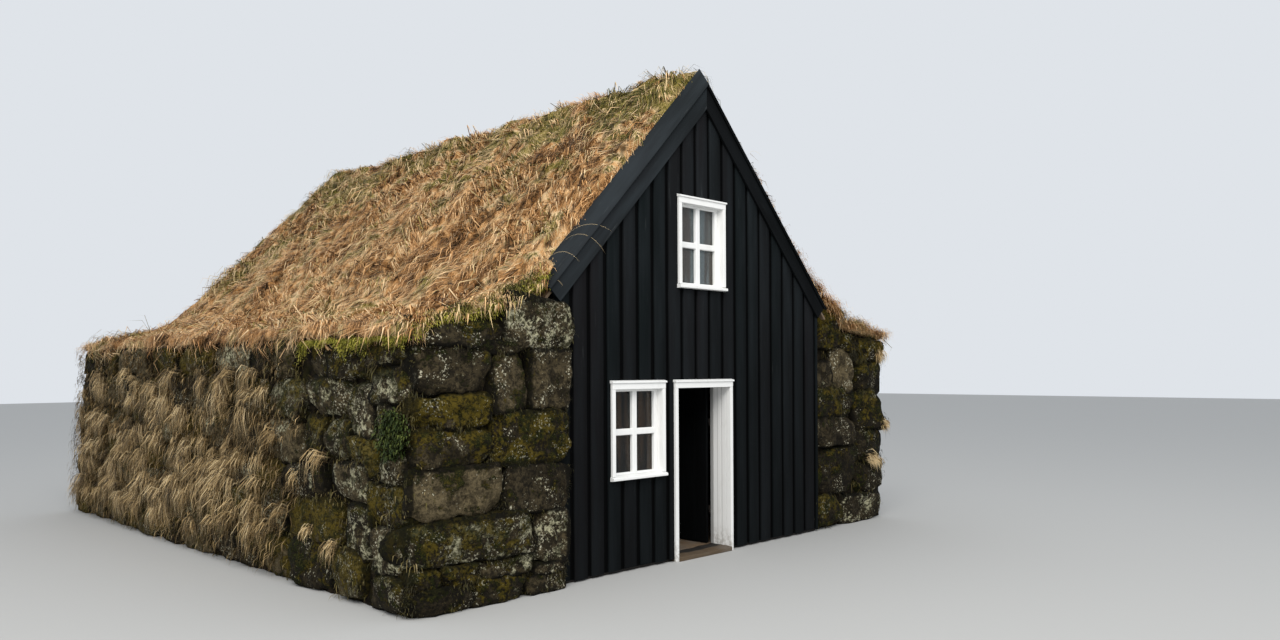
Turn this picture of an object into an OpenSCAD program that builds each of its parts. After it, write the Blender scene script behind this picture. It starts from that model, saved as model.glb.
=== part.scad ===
/* [Plan] */
// Width of the boarded front gable between the stone walls
gable_w = 3960; // [3400:10:4600]
// Thickness of each side wall at its foot
wall_t = 1540; // [1200:10:1800]
// Thickness of the rear wall at its foot
rear_t = 1450; // [1200:10:1800]
// Length of the house over its walls, at the foot
house_len = 8600; // [7000:50:10000]
// How far the left wall's nose stands in front of the gable line
left_nose = 150; // [100:5:250]
// How far the right wall's nose stands in front of the gable line
right_nose = 20; // [0:5:45]
// How far the left wall's nose laps over the edge of the boards
nose_lap = 110; // [60:5:160]

/* [Stone walls] */
// Height of the stonework's shoulder, which the foot of the roof boarding rests on
shoulder_h = 2456; // [2300:2:2600]
// How far the left wall's top falls from its shoulder to its outer edge
left_fall = 276; // [100:2:400]
// How far the right wall's top falls from its shoulder to its outer edge
right_fall = 206; // [100:2:400]
// How far the left wall's outer face leans in from foot to top
side_batter = 100; // [0:5:250]
// How far the rear face leans in from the foot to its ledge
rear_batter = 150; // [0:5:300]
// How far the rear gable leans in above its ledge, up to the ridge
gable_batter = 580; // [300:10:900]
// How far the noses lean back from foot to top
nose_batter = 30; // [0:5:60]
// Depth of the joints between the stones
joint_d = 60; // [30:5:80]
// Width of the joints between the stones
joint_w = 24; // [10:2:40]
// Number of courses in the side and rear faces
course_count = 5; // [4:1:6]
// Length of a stone in the side and rear faces
stone_len = 640; // [500:10:900]
// How far a corner stone reaches back from its front
corner_stone = 350; // [250:10:450]
// How far a stone's front is drawn in from its sides
stone_taper = 36; // [20:2:50]
// Size of a stone's cut corners in shares of its shorter side
stone_cut = 0.24; // [0.15:0.01:0.3]
// Unevenness of the side and rear stones' lengths and heights
stone_play = 0.22; // [0.1:0.01:0.3]

/* [Roof] */
// Slope of the roof in degrees
roof_pitch = 46.3; // [42:0.1:50]
// Thickness of the roof turf
turf_t = 200; // [150:5:260]
// Thickness of the turf on the walls at its outer edge
cap_t = 95; // [60:5:160]
// Radius that rounds the turf along the ridge
ridge_r = 150; // [80:10:300]
// Radius of the hollow where the roof turf runs out on the wall
valley_r = 900; // [300:50:1500]
// Thickness of the turf facing on the rear gable
rear_turf_t = 130; // [80:5:200]
// Height of the turf's hummocks from hollow to top
hummock_h = 90; // [0:5:110]
// Distance from one hummock to the next
hummock_pitch = 750; // [600:10:1000]
// Distance over which the hummocks fade out towards the turf's ends
hummock_fade = 500; // [300:10:800]
// Thickness of the roof boarding
sheathing_t = 25; // [18:1:40]
// How far the roof boarding reaches over the stone walls
sheathing_over = 140; // [80:5:220]

/* [Timber frame] */
// Depth of a rafter, measured square to the roof
rafter_d = 125; // [90:5:160]
// Width of a rafter
rafter_w = 75; // [50:5:100]
// Number of frames, each with two posts, a joist and two rafters
frame_count = 8; // [6:1:9]
// Side of a post and width of a wall plate
post_w = 120; // [90:5:150]
// Depth of a wall plate along its inner face
plate_d = 255; // [200:5:300]
// Thickness of the ridge beam
ridge_beam_w = 50; // [40:5:80]
// Depth of the ridge beam
ridge_beam_d = 240; // [180:10:320]
// Height of the collar ties' underside
collar_z = 3700; // [3500:10:3800]
// Depth of a collar tie
collar_d = 100; // [75:5:130]
// Thickness of a collar tie
collar_w = 35; // [25:5:50]
// Height of the loft floor's top
loft_z = 2145; // [2080:5:2200]
// Thickness of the loft floor
loft_floor_t = 25; // [18:1:35]
// Depth of a loft joist
joist_d = 140; // [100:5:180]
// Thickness of the ground floor
ground_floor_t = 40; // [25:5:60]

/* [Gable boarding] */
// Distance from one front board to the next
board_pitch = 207; // [170:1:240]
// Width of the groove between two front boards, where the back boards show
groove_w = 50; // [20:1:70]
// Distance from the gable's left end to the middle of the first groove
first_groove = 179; // [80:1:200]
// Thickness of the front boards
front_board_t = 24; // [18:1:32]
// Thickness of the back boards
back_board_t = 22; // [18:1:30]
// Depth of the timber frame behind the boarding
stud_d = 120; // [90:5:160]
// Width of a stud in the gable
stud_w = 70; // [50:5:100]
// Height of the sill beam under the gable
sill_h = 110; // [80:5:160]
// How far the joint between lower and upper boards lies below the casings' tops
split_below = 14; // [8:1:30]
// Depth of the beam over the doorway
girt_d = 150; // [100:5:170]
// Gap between the ground and the foot of the boards
board_foot = 30; // [0:5:80]

/* [Verge] */
// Width of a verge board, which is tilted to shed water
verge_w = 182; // [140:1:240]
// Thickness of a verge board
verge_t = 25; // [18:1:35]
// Tilt of a verge board out of the roof plane
verge_tilt = 44.6; // [35:0.1:55]
// Depth of the verge board's upper edge below the turf
verge_drop = 35; // [10:1:60]
// Distance of the verge board's upper edge behind the gable line
verge_back = 24; // [0:2:60]
// How far the verge boards run past the gable's half width
verge_over = 225; // [100:5:260]
// How far the fascia boards run past the gable's half width
fascia_over = 213; // [100:1:250]
// Thickness of a fascia board
fascia_t = 28; // [20:1:40]
// Depth of the fascia's lower edge below the turf's surface
fascia_low = 334; // [290:1:400]

/* [Doorway] */
// Place of the doorway's middle along the gable
door_x = -46; // [-150:2:150]
// Clear width of the doorway
door_w = 796; // [700:4:860]
// Height of the doorway's head above the ground
door_h = 1700; // [1600:5:1715]
// Thickness of the white lining boards
lining_t = 30; // [20:1:35]
// Depth of the lining behind the boarding's face
lining_d = 250; // [200:5:320]
// Height of the threshold plank
threshold_h = 45; // [40:5:70]
// Thickness of the door's planks
leaf_t = 30; // [25:1:38]
// Thickness of the ledges on the door's back
ledge_t = 24; // [16:1:30]
// Height of a ledge on the door's back
ledge_h = 120; // [80:5:160]
// Gap round the door
door_gap = 6; // [5:1:10]
// Angle at which the door stands open
door_open = 90; // [70:1:95]

/* [Door hinges] */
// Height of the lower hinge
low_hinge_z = 420; // [350:5:500]
// Height of the upper hinge
high_hinge_z = 1340; // [1250:5:1400]
// Distance from the door's back to the hinge axis
hinge_out = 13; // [12:1:16]
// Radius of a hinge pin
pin_r = 5; // [4:0.5:6]
// Gap between the pin and its eye
pin_gap = 0.4; // [0.2:0.1:0.8]
// Wall of the eye round the pin
eye_wall = 3.4; // [3:0.2:4]
// Height of the eye
eye_h = 44; // [30:1:60]
// Height of the lug that carries the pin
lug_h = 30; // [20:1:40]
// Length of a strap
strap_len = 520; // [300:10:600]
// Thickness of a strap
strap_t = 5; // [4:0.5:6]
// Width of a hinge plate on the lining
hinge_plate_w = 26; // [20:1:30]

/* [Windows] */
// Width over a window's casing
window_w = 710; // [640:2:760]
// Height over a window's casing
window_h = 927; // [820:1:950]
// Place of the lower window's middle along the gable
low_window_x = -981; // [-1100:1:-960]
// Place of the upper window's middle along the gable
high_window_x = -64; // [-120:1:120]
// Height of the upper window's foot
high_window_z = 2686; // [2500:2:2800]
// Width of the upright casing boards on windows and doorway
casing_w = 42; // [35:1:60]
// Height of a casing's head with its cap
head_h = 84; // [80:1:90]
// Thickness of the casing boards
casing_t = 28; // [20:1:45]
// Thickness of the cap on a casing's head
cap_h = 27; // [12:1:30]
// How far a cap stands out past its casing
cap_out = 14; // [10:1:40]
// Height of a window sill
window_sill_h = 42; // [30:1:60]
// How far a window sill stands out past its casing
sill_out = 20; // [10:1:50]
// Thickness of the box that lines a window's hole
box_t = 22; // [16:1:30]
// Depth of a sash's front behind the boarding's face
sash_back = 46; // [20:1:60]
// Width of a sash's upright stiles
sash_w = 48; // [40:1:80]
// Height of a sash's top and bottom rails
rail_w = 22; // [15:1:45]
// Thickness of a sash
sash_t = 36; // [28:1:45]
// Width of a glazing bar
bar_w = 60; // [30:1:70]
// Thickness of the glass
glass_t = 4; // [3:0.5:6]

/* [Hidden] */
half_w = gable_w / 2;
outer_x = half_w + wall_t;
gable_y = left_nose - house_len / 2;
rear_y = house_len / 2;
inner_rear_y = rear_y - rear_t;
far = 20000;

// Height of a line that lies square under the turf's plane by the given depth
function roof_z(x, depth) = ridge_h - abs(x) * tan(roof_pitch) - depth / cos(roof_pitch);
// Distance from the middle at which such a line comes down to a height
function roof_x(z, depth) = (ridge_h - depth / cos(roof_pitch) - z) / tan(roof_pitch);
function arc(cx, cy, r, a0, a1, n) = [for (i = [0 : n])
    [cx + r * cos(a0 + (a1 - a0) * i / n), cy + r * sin(a0 + (a1 - a0) * i / n)]];

// Play between two slanted pieces that lie on each other
seat = 0.3;
sheathing_top = turf_t;
sheathing_low = turf_t + sheathing_t;
rafter_top = sheathing_low + seat;
rafter_low = rafter_top + rafter_d;
eave_x = half_w + sheathing_over;
// Height at which the two turf slopes would meet
ridge_h = shoulder_h + eave_x * tan(roof_pitch) + sheathing_low / cos(roof_pitch);
left_wall_h = shoulder_h - left_fall;
right_wall_h = shoulder_h - right_fall;
// The rear wall steps in at the height of the right wall's turf
rear_ledge_h = right_wall_h;
// A stone reaches past its joints into the wall behind
stone_root = joint_d * 4 / 3;
// The turf facing's inner plane at the rear, which the roof turf and the boarding end on
ledge_y = rear_y - rear_batter;
facing_y = ledge_y - rear_turf_t;
facing_lean = gable_batter / (ridge_h - rear_ledge_h);

post_in = half_w - 60 - post_w;
post_out = post_in + post_w;
plate_z = roof_z(post_in, rafter_low) - plate_d;
board_face = gable_y - back_board_t - front_board_t;
frame_y0 = gable_y;
frame_y1 = gable_y + stud_d;
first_frame_y = frame_y1 + 40;
frame_step = (inner_rear_y - 20 - post_w - first_frame_y) / (frame_count - 1);

door_x0 = door_x - door_w / 2;
door_x1 = door_x + door_w / 2;
lining_y1 = board_face + lining_d;
leaf_w = door_w - 2 * door_gap;
leaf_z0 = threshold_h + door_gap;
leaf_h = door_h - door_gap - leaf_z0;
eye_r = pin_r + pin_gap + eye_wall;
hinge_x = door_x1;
hinge_y = lining_y1 + hinge_out;
casing_y = board_face - casing_t;
sash_y = board_face + sash_back;
gable_split_z = door_h + head_h - split_below;
// The lower window's head is level with the doorway's
low_window_z = door_h + head_h - window_h;

// A profile drawn across the house in x and z, carried along y
module across(y0, y1) {
    translate([0, y1, 0]) rotate([90, 0, 0]) linear_extrude(y1 - y0) children();
}
// A profile drawn along the house in y and z, carried along x
module along(x0, x1) {
    translate([x0, 0, 0]) rotate([90, 0, 90]) linear_extrude(x1 - x0) children();
}
module bar(x0, x1, y0, y1, z0, z1) {
    translate([x0, y0, z0]) cube([x1 - x0, y1 - y0, z1 - z0]);
}

// Closed body through rings of points, with the points of a ring in the same order in each
module skinned(rings) {
    n = len(rings[0]);
    last = len(rings) - 1;
    polyhedron(points = [for (ring = rings) each ring], faces = concat(
        [[for (i = [0 : n - 1]) i]],
        [[for (i = [n - 1 : -1 : 0]) last * n + i]],
        [for (j = [0 : last - 1], i = [0 : n - 1]) let(next = (i + 1) % n) each [
            [j * n + i, (j + 1) * n + i, (j + 1) * n + next],
            [j * n + i, (j + 1) * n + next, j * n + next]]]));
}

// A wall's face is its foot, the way along it, the way inwards and its lean for each unit of height
function on_face(face, a, z, depth) = face[0] + a * face[1] + (face[3] * z + depth) * face[2] + [0, 0, z];
// Outline of a stone that lies between two places and two heights: a rectangle with unequal cut corners
function stone_outline(s, inset) = let(
    a0 = s[0] + inset, a1 = s[1] - inset, z0 = s[2] + (s[2] > 0 ? inset : 0), z1 = s[3] - inset,
    c = [for (i = [0 : 3]) min(a1 - a0, z1 - z0) * stone_cut * (1 + sin(131 * i + 0.7 * s[0] + s[2]) / 2)])
    [[a0 + c[0], z0], [a1 - c[1], z0], [a1, z0 + c[1]], [a1, z1 - c[2]],
        [a1 - c[2], z1], [a0 + c[3], z1], [a0, z1 - c[3]], [a0, z0 + c[0]]];
// A stone whose front is drawn in from its sides, and which reaches into the wall by a depth
module stone(face, s, depth) {
    steps = [[0, joint_w / 2 + stone_taper], [joint_d / 3, joint_w / 2], [depth, joint_w / 2]];
    skinned([for (step = steps) [for (p = stone_outline(s, step[1])) on_face(face, p[0], p[1], step[0])]]);
}
// Places at which the stones of a course begin, and where the last one ends
function stone_ends(a0, a1, row) = let(count = max(2, round((a1 - a0) / stone_len) - row % 2))
    [for (k = [0 : count])
        a0 + (a1 - a0) * (k + (k % count == 0 ? 0 : stone_play * sin(137 * k + 61 * row))) / count];
// Courses of stones up to a height; their beginning moves along the face with the height
module coursed(face, a0, a1, height, lean = 0, first_depth = stone_root) {
    beds = [for (j = [0 : course_count])
        height * (j + (j % course_count == 0 ? 0 : stone_play * sin(140 * j))) / course_count];
    for (j = [0 : course_count - 1]) {
        ends = stone_ends(a0 + lean * beds[j + 1], a1, j);
        for (k = [0 : len(ends) - 2])
            stone(face, [ends[k], ends[k + 1], beds[j], beds[j + 1]], k == 0 ? first_depth : stone_root);
    }
}
// Stones of a nose in shares of its width, from the boards outwards, and of the shoulder's height
left_nose_stones = [[0.05, 0.33, 0, 0.07], [0.33, 0.65, 0, 0.09], [0.65, 0.99, 0, 0.08],
    [0.04, 0.26, 0.07, 0.10], [0.26, 0.61, 0.09, 0.15], [0.61, 0.82, 0.08, 0.15], [0.82, 0.99, 0.08, 0.15],
    [0.03, 0.26, 0.10, 0.28], [0.26, 0.98, 0.15, 0.28], [0.03, 0.45, 0.28, 0.45], [0.45, 0.98, 0.28, 0.45],
    [0, 0.52, 0.45, 0.62], [0.52, 0.97, 0.45, 0.58], [0.52, 0.96, 0.58, 0.69], [0, 0.28, 0.62, 0.83],
    [0.28, 0.51, 0.62, 0.83], [0.51, 0.96, 0.69, 0.84], [0, 0.43, 0.83, 1], [0.43, 0.95, 0.84, 0.97]];
right_nose_stones = [[0, 0.41, 0, 0.17], [0.41, 0.97, 0, 0.14], [0, 0.58, 0.17, 0.39],
    [0.58, 0.98, 0.14, 0.30], [0.58, 0.99, 0.30, 0.45], [0, 0.58, 0.39, 0.53], [0, 0.58, 0.53, 0.66],
    [0.58, 0.97, 0.45, 0.65], [0, 0.23, 0.66, 0.83], [0.23, 0.60, 0.66, 0.86], [0.60, 0.99, 0.65, 0.82],
    [0, 0.60, 0.86, 1], [0.60, 0.98, 0.82, 0.94]];
module nose(stones, inner_x, nose_y, width) {
    face = [[-inner_x, nose_y, 0], [-1, 0, 0], [0, 1, 0], nose_batter / shoulder_h];
    for (s = stones) stone(face, [s[0] * width, s[1] * width, s[2] * shoulder_h, s[3] * shoulder_h],
        s[1] > 0.9 ? corner_stone : stone_root);
}
module rear_stones(x0, x1, lean = 0, first_depth = stone_root) {
    coursed([[0, rear_y, 0], [1, 0, 0], [0, -1, 0], rear_batter / rear_ledge_h], x0, x1,
        rear_ledge_h, lean, first_depth);
}

// Side view of the wall behind its stones: a leaning nose in front and a stepped rear
module side_view(nose_y) {
    polygon([[nose_y + joint_d, 0], [rear_y - joint_d, 0], [ledge_y - joint_d, rear_ledge_h],
        [facing_y, rear_ledge_h], [facing_y - facing_lean * (ridge_h - rear_ledge_h), ridge_h],
        [nose_y + joint_d + nose_batter, ridge_h], [nose_y + joint_d + nose_batter, shoulder_h]]);
}
// The top of each side wall slopes down from its shoulder to its outer edge
module left_wall() {
    nose_y = gable_y - left_nose;
    inner_x = half_w - nose_lap;
    edge_x = outer_x - side_batter;
    lean = side_batter / left_wall_h;
    fall = left_fall / (edge_x - eave_x);
    side_y = nose_y + corner_stone + joint_w;
    color("dimgray") difference() {
        intersection() {
            union() {
                intersection() {
                    across(nose_y, rear_y) polygon([[-outer_x + joint_d, 0], [-inner_x - joint_w, 0],
                        [-inner_x - joint_w, ridge_h], [-outer_x + joint_d + lean * ridge_h, ridge_h]]);
                    along(-outer_x, 0) side_view(nose_y);
                }
                nose(left_nose_stones, inner_x, nose_y, outer_x - inner_x);
                coursed([[-outer_x, 0, 0], [0, 1, 0], [1, 0, 0], lean], side_y,
                    ledge_y - corner_stone - joint_w, left_wall_h);
                rear_stones(-outer_x, -half_w, lean, corner_stone);
            }
            across(-far, far) polygon([[0, -1], [-2 * edge_x, -1], [-2 * edge_x, left_wall_h - fall * edge_x],
                [-eave_x, shoulder_h], [0, shoulder_h]]);
        }
        bar(-half_w, 0, board_face, far, -1, far);
    }
}
module right_wall() {
    nose_y = gable_y - right_nose;
    color("dimgray") intersection() {
        union() {
            along(0, 2 * outer_x) side_view(nose_y);
            mirror([1, 0, 0]) nose(right_nose_stones, half_w, nose_y, wall_t);
            rear_stones(half_w, outer_x);
        }
        across(-far, far) polygon([[half_w, 0], [outer_x, 0], [outer_x, right_wall_h],
            [eave_x, shoulder_h], [half_w, shoulder_h]]);
    }
}
module rear_wall() {
    color("dimgray") union() {
        intersection() {
            across(inner_rear_y, rear_y) polygon([[-half_w, 0], [half_w, 0],
                [half_w, roof_z(half_w, rafter_top)], [0, roof_z(0, rafter_top)],
                [-half_w, roof_z(half_w, rafter_top)]]);
            along(-half_w, half_w) side_view(gable_y);
        }
        rear_stones(-half_w, half_w);
    }
}

// Upper outline of the turf on one side, from the outer edge of the wall up to the ridge
function turf_outline(edge_x, edge_h) = let(
    cap_z = edge_h + cap_t,
    cap_lean = atan((shoulder_h + cap_t - cap_z) / (edge_x - eave_x)),
    // the hollow's centre lies a radius above both the slope and the wall's turf
    hx = ((ridge_h - valley_r * -1 / cos(roof_pitch)) - (cap_z + valley_r / cos(cap_lean)
        + edge_x * tan(cap_lean))) / (tan(roof_pitch) - tan(cap_lean)),
    hz = ridge_h + valley_r / cos(roof_pitch) - hx * tan(roof_pitch),
    ridge_z = ridge_h - ridge_r / cos(roof_pitch))
    concat([[edge_x, cap_z - cap_t / 2]],
        [[edge_x - cap_t / 4, cap_z]],
        arc(hx, hz, valley_r, 270 - cap_lean, 270 - roof_pitch, 4),
        arc(0, ridge_z, ridge_r, 90 - roof_pitch, 90, 3));
// The same outline with more points, so that none of its stretches is longer than a step
function stepped(points, step) = concat([for (i = [0 : len(points) - 2])
    let(way = points[i + 1] - points[i], n = ceil(norm(way) / step))
    for (k = [0 : n - 1]) points[i] + way * k / n], [points[len(points) - 1]]);
// Lift of the turf at a place on the roof: two crossed waves that sway, and a slanted one over them
function hummock(x, y) = let(u = 360 * x / cos(roof_pitch) / hummock_pitch, v = 360 * y / hummock_pitch)
    hummock_h / 3.6
        * (sin(v + 90 * sin(u / 2.3)) * cos(u + 70 * sin(v / 2.7)) + 0.8 * sin(0.6 * v - 0.8 * u));
// Share of the hummocks' height at a point of the outline: less at the front, rear and outer edge
function hummock_share(p, y, edge_x) = let(
    rear = facing_y - facing_lean * max(0, p[1] - rear_ledge_h),
    edges = [0.3 + (y - gable_y) / hummock_fade, (rear - y) / hummock_fade,
        0.3 + (edge_x - p[0]) / hummock_fade])
    max(0, min(1, min(edges)));
// Slab cut away above the tilted verge board, drawn in y and in depth under the turf
module verge_space(side) {
    top_y = verge_top_y + verge_t * sin(verge_tilt) + seat;
    top_d = verge_drop + verge_t * cos(verge_tilt) + seat;
    slope_frame(side) polygon([[top_y, -far / 4], [top_y, top_d],
        [top_y - far / 4 * cos(verge_tilt), top_d + far / 4 * sin(verge_tilt)],
        [top_y - far / 4, -far / 4]]);
}
// Carries a profile, drawn in y and in depth under the turf's plane, along one slope
module slope_frame(side, start = -far / 8, length = far / 2) {
    translate([0, 0, ridge_h]) rotate([0, side > 0 ? roof_pitch : 180 - roof_pitch, 0])
        translate([start, 0, 0]) rotate([90, 0, 90]) linear_extrude(length)
        scale([1, side > 0 ? -1 : 1]) children();
}
// Underside of the turf, with play over the boarding, round the boarding's foot and over the wall
function turf_underside(edge_x, edge_h) = let(t = sheathing_t + seat)
    [[0, roof_z(0, sheathing_top - seat)],
        [eave_x + t * sin(roof_pitch) + seat * cos(roof_pitch),
            shoulder_h + t * cos(roof_pitch) - seat * sin(roof_pitch)],
        [eave_x + 2 * seat, shoulder_h + seat], [edge_x, edge_h + seat]];
module turf(side, edge_x, edge_h) {
    step = hummock_pitch / 3;
    low = turf_underside(edge_x, edge_h);
    top = stepped(turf_outline(edge_x, edge_h), step);
    stations = ceil((rear_y - board_face) / step);
    rings = [for (j = [-1 : stations]) let(y = board_face + (rear_y - board_face) * j / stations) concat(
        [for (p = low) [side * p[0], y, p[1]]],
        [for (p = top) [side * p[0], y, p[1]
            + hummock(side * p[0], y) * hummock_share(p, y, edge_x)]])];
    color("goldenrod") difference() {
        intersection() {
            skinned(side < 0 ? rings : [for (ring = rings) [for (i = [len(ring) - 1 : -1 : 0]) ring[i]]]);
            along(-far / 2, far / 2) polygon([[board_face, 0], [facing_y, 0],
                [facing_y, rear_ledge_h],
                [facing_y - facing_lean * (far - rear_ledge_h) / 3, rear_ledge_h + (far - rear_ledge_h) / 3],
                [board_face, far / 2]]);
        }
        verge_space(side);
    }
}
module left_turf() { turf(-1, outer_x - side_batter, left_wall_h); }
module right_turf() { turf(1, outer_x, right_wall_h); }
module rear_turf() {
    reach = roof_x(rear_ledge_h, 0);
    color("olivedrab") intersection() {
        across(inner_rear_y, rear_y) polygon(concat([[-reach, rear_ledge_h], [reach, rear_ledge_h]],
            arc(0, ridge_h - ridge_r / cos(roof_pitch), ridge_r, 90 - roof_pitch, 90 + roof_pitch, 10)));
        along(-far, far) polygon([[facing_y + seat, rear_ledge_h], [ledge_y, rear_ledge_h],
            [ledge_y - facing_lean * (ridge_h - rear_ledge_h), ridge_h],
            [facing_y + seat - facing_lean * (ridge_h - rear_ledge_h), ridge_h]]);
    }
}

module sheathing(side) {
    color("peru") intersection() {
        across(board_face, rear_y) scale([side, 1]) polygon([
            [0, roof_z(0, sheathing_top)], [0, roof_z(0, sheathing_low)], [eave_x, shoulder_h],
            [eave_x + sheathing_t * sin(roof_pitch), shoulder_h + sheathing_t * cos(roof_pitch)]]);
        along(-far, far) polygon([[board_face, 0], [facing_y, 0], [facing_y, rear_ledge_h],
            [facing_y - facing_lean * (ridge_h - rear_ledge_h), ridge_h], [board_face, ridge_h]]);
    }
}
module left_sheathing() { sheathing(-1); }
module right_sheathing() { sheathing(1); }

module rafters(side) {
    foot_x = post_out + 40;
    color("sienna") for (i = [0 : frame_count - 1]) {
        y = first_frame_y + i * frame_step;
        across(y, y + rafter_w) scale([side, 1]) polygon([
            [ridge_beam_w / 2, roof_z(ridge_beam_w / 2, rafter_top)],
            [ridge_beam_w / 2, roof_z(ridge_beam_w / 2, rafter_low)],
            [foot_x, roof_z(foot_x, rafter_low)], [foot_x, roof_z(foot_x, rafter_top)]]);
    }
}
module left_rafters() { rafters(-1); }
module right_rafters() { rafters(1); }
module ridge_beam() {
    half = ridge_beam_w / 2;
    low = roof_z(0, rafter_top) - ridge_beam_d;
    color("saddlebrown") across(frame_y1, inner_rear_y) polygon([[-half, low], [half, low],
        [half, roof_z(half, rafter_top)], [0, roof_z(0, rafter_top)],
        [-half, roof_z(half, rafter_top)]]);
}
// Each tie is bolted to the rear face of its pair of rafters
module collar_ties() {
    low_x = roof_x(collar_z, rafter_top);
    high_x = roof_x(collar_z + collar_d, rafter_top);
    color("sienna") for (i = [0 : frame_count - 2]) {
        y = first_frame_y + i * frame_step + rafter_w;
        across(y, y + collar_w) polygon([[-low_x, collar_z], [low_x, collar_z],
            [high_x, collar_z + collar_d], [-high_x, collar_z + collar_d]]);
    }
}
// A plate's top is planed to the slope, so that the rafters bear on it
module wall_plate(side) {
    color("saddlebrown") across(frame_y1, inner_rear_y) scale([side, 1]) polygon([
        [post_in, plate_z], [post_out, plate_z], [post_out, roof_z(post_out, rafter_low + seat)],
        [post_in, roof_z(post_in, rafter_low + seat)]]);
}
module left_wall_plate() { wall_plate(-1); }
module right_wall_plate() { wall_plate(1); }
module posts(side) {
    color("saddlebrown") for (i = [0 : frame_count - 1])
        scale([side, 1, 1]) translate([post_in, first_frame_y + i * frame_step, ground_floor_t])
            cube([post_w, post_w, plate_z - ground_floor_t]);
}
module left_posts() { posts(-1); }
module right_posts() { posts(1); }
module loft_joists() {
    color("sienna") for (i = [0 : frame_count - 1]) {
        y = first_frame_y + i * frame_step;
        bar(-post_in, post_in, y, y + post_w, loft_z - loft_floor_t - joist_d, loft_z - loft_floor_t);
    }
}
module loft_floor() {
    color("burlywood") bar(-post_in, post_in, frame_y1, inner_rear_y, loft_z - loft_floor_t, loft_z);
}
module ground_floor() {
    color("burlywood") difference() {
        bar(-half_w, half_w, frame_y1, inner_rear_y, 0, ground_floor_t);
        bar(door_x0 - lining_t, door_x1 + lining_t, frame_y1 - 1, lining_y1, -1, ground_floor_t + 1);
    }
}

// Boards in plan: front boards stand off the back boards, with a groove between two of them
module board_plan(x0, x1) {
    intersection() {
        union() {
            translate([-half_w, board_face + front_board_t]) square([gable_w, back_board_t]);
            difference() {
                translate([-half_w, board_face]) square([gable_w, front_board_t]);
                for (x = [-half_w + first_groove : board_pitch : half_w])
                    translate([x - groove_w / 2, board_face - 1]) square([groove_w, front_board_t + 1]);
            }
        }
        translate([x0, board_face - 1]) square([x1 - x0, frame_y1 - board_face]);
    }
}
module window_hole(x, z, y0, y1) {
    bar(x - window_w / 2 + casing_w - box_t, x + window_w / 2 - casing_w + box_t, y0, y1,
        z + window_sill_h - box_t, z + window_h - head_h + box_t);
}
module gable_boards_left() {
    color("darkslategray") difference() {
        translate([0, 0, board_foot]) linear_extrude(gable_split_z - board_foot)
            board_plan(-half_w, door_x0 - lining_t);
        window_hole(low_window_x, low_window_z, board_face - 1, frame_y1);
    }
}
module gable_boards_right() {
    color("darkslategray") translate([0, 0, board_foot]) linear_extrude(gable_split_z - board_foot)
        board_plan(door_x1 + lining_t, half_w);
}
module gable_boards_upper() {
    color("darkslategray") difference() {
        intersection() {
            translate([0, 0, gable_split_z]) linear_extrude(ridge_h) board_plan(-half_w, half_w);
            across(board_face - 1, frame_y1) polygon([[-half_w, 0], [half_w, 0],
                [half_w, roof_z(half_w, rafter_top)], [0, roof_z(0, rafter_top)],
                [-half_w, roof_z(half_w, rafter_top)]]);
        }
        window_hole(high_window_x, high_window_z, board_face - 1, frame_y1);
    }
}

// Timbers behind the boards: sill, studs and rails, with the window's own trimmers
module frame_left_half() {
    hole0 = low_window_x - window_w / 2 + casing_w - box_t;
    hole1 = low_window_x + window_w / 2 - casing_w + box_t;
    top = gable_split_z;
    jamb = door_x0 - lining_t;
    bar(-half_w, jamb, frame_y0, frame_y1, 0, sill_h);
    bar(-half_w, -half_w + stud_w, frame_y0, frame_y1, 0, top);
    bar(hole0 - stud_w, hole0, frame_y0, frame_y1, 0, top);
    bar(hole1, jamb, frame_y0, frame_y1, 0, top);
    bar(hole0 - stud_w, jamb, frame_y0, frame_y1, low_window_z + window_sill_h - box_t - stud_w,
        low_window_z + window_sill_h - box_t);
    bar(-half_w, jamb, frame_y0, frame_y1, low_window_z + window_h - head_h + box_t, top);
}
module gable_frame_left() { color("saddlebrown") frame_left_half(); }
module gable_frame_right() {
    jamb = door_x1 + lining_t;
    middle = (jamb + half_w) / 2;
    color("saddlebrown") {
        bar(jamb, half_w, frame_y0, frame_y1, 0, sill_h);
        for (x = [jamb, middle - stud_w / 2, half_w - stud_w])
            bar(x, x + stud_w, frame_y0, frame_y1, 0, gable_split_z);
        bar(jamb, half_w, frame_y0, frame_y1, gable_split_z - stud_w, gable_split_z);
    }
}
module gable_frame_upper() {
    hole0 = high_window_x - window_w / 2 + casing_w - box_t;
    hole1 = high_window_x + window_w / 2 - casing_w + box_t;
    foot = high_window_z + window_sill_h - box_t;
    head = high_window_z + window_h - head_h + box_t;
    color("saddlebrown") intersection() {
        union() {
            bar(-half_w, half_w, frame_y0, frame_y1, gable_split_z, gable_split_z + girt_d);
            for (x = [-half_w, hole0 - stud_w, hole1, half_w - stud_w,
                (hole0 - half_w) / 2, (hole1 + half_w - stud_w) / 2])
                bar(x, x + stud_w, frame_y0, frame_y1, gable_split_z, ridge_h);
            bar(hole0 - stud_w, hole1 + stud_w, frame_y0, frame_y1, foot - stud_w, foot);
            bar(hole0 - stud_w, hole1 + stud_w, frame_y0, frame_y1, head, head + stud_w);
            for (side = [-1, 1]) across(frame_y0, frame_y1) scale([side, 1]) polygon([
                [0, roof_z(0, rafter_top)], [0, roof_z(0, rafter_low)],
                [half_w, roof_z(half_w, rafter_low)], [half_w, roof_z(half_w, rafter_top)]]);
        }
        across(frame_y0, frame_y1) polygon([[-half_w, 0], [half_w, 0],
            [half_w, roof_z(half_w, rafter_top)], [0, roof_z(0, rafter_top)],
            [-half_w, roof_z(half_w, rafter_top)]]);
    }
}

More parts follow.
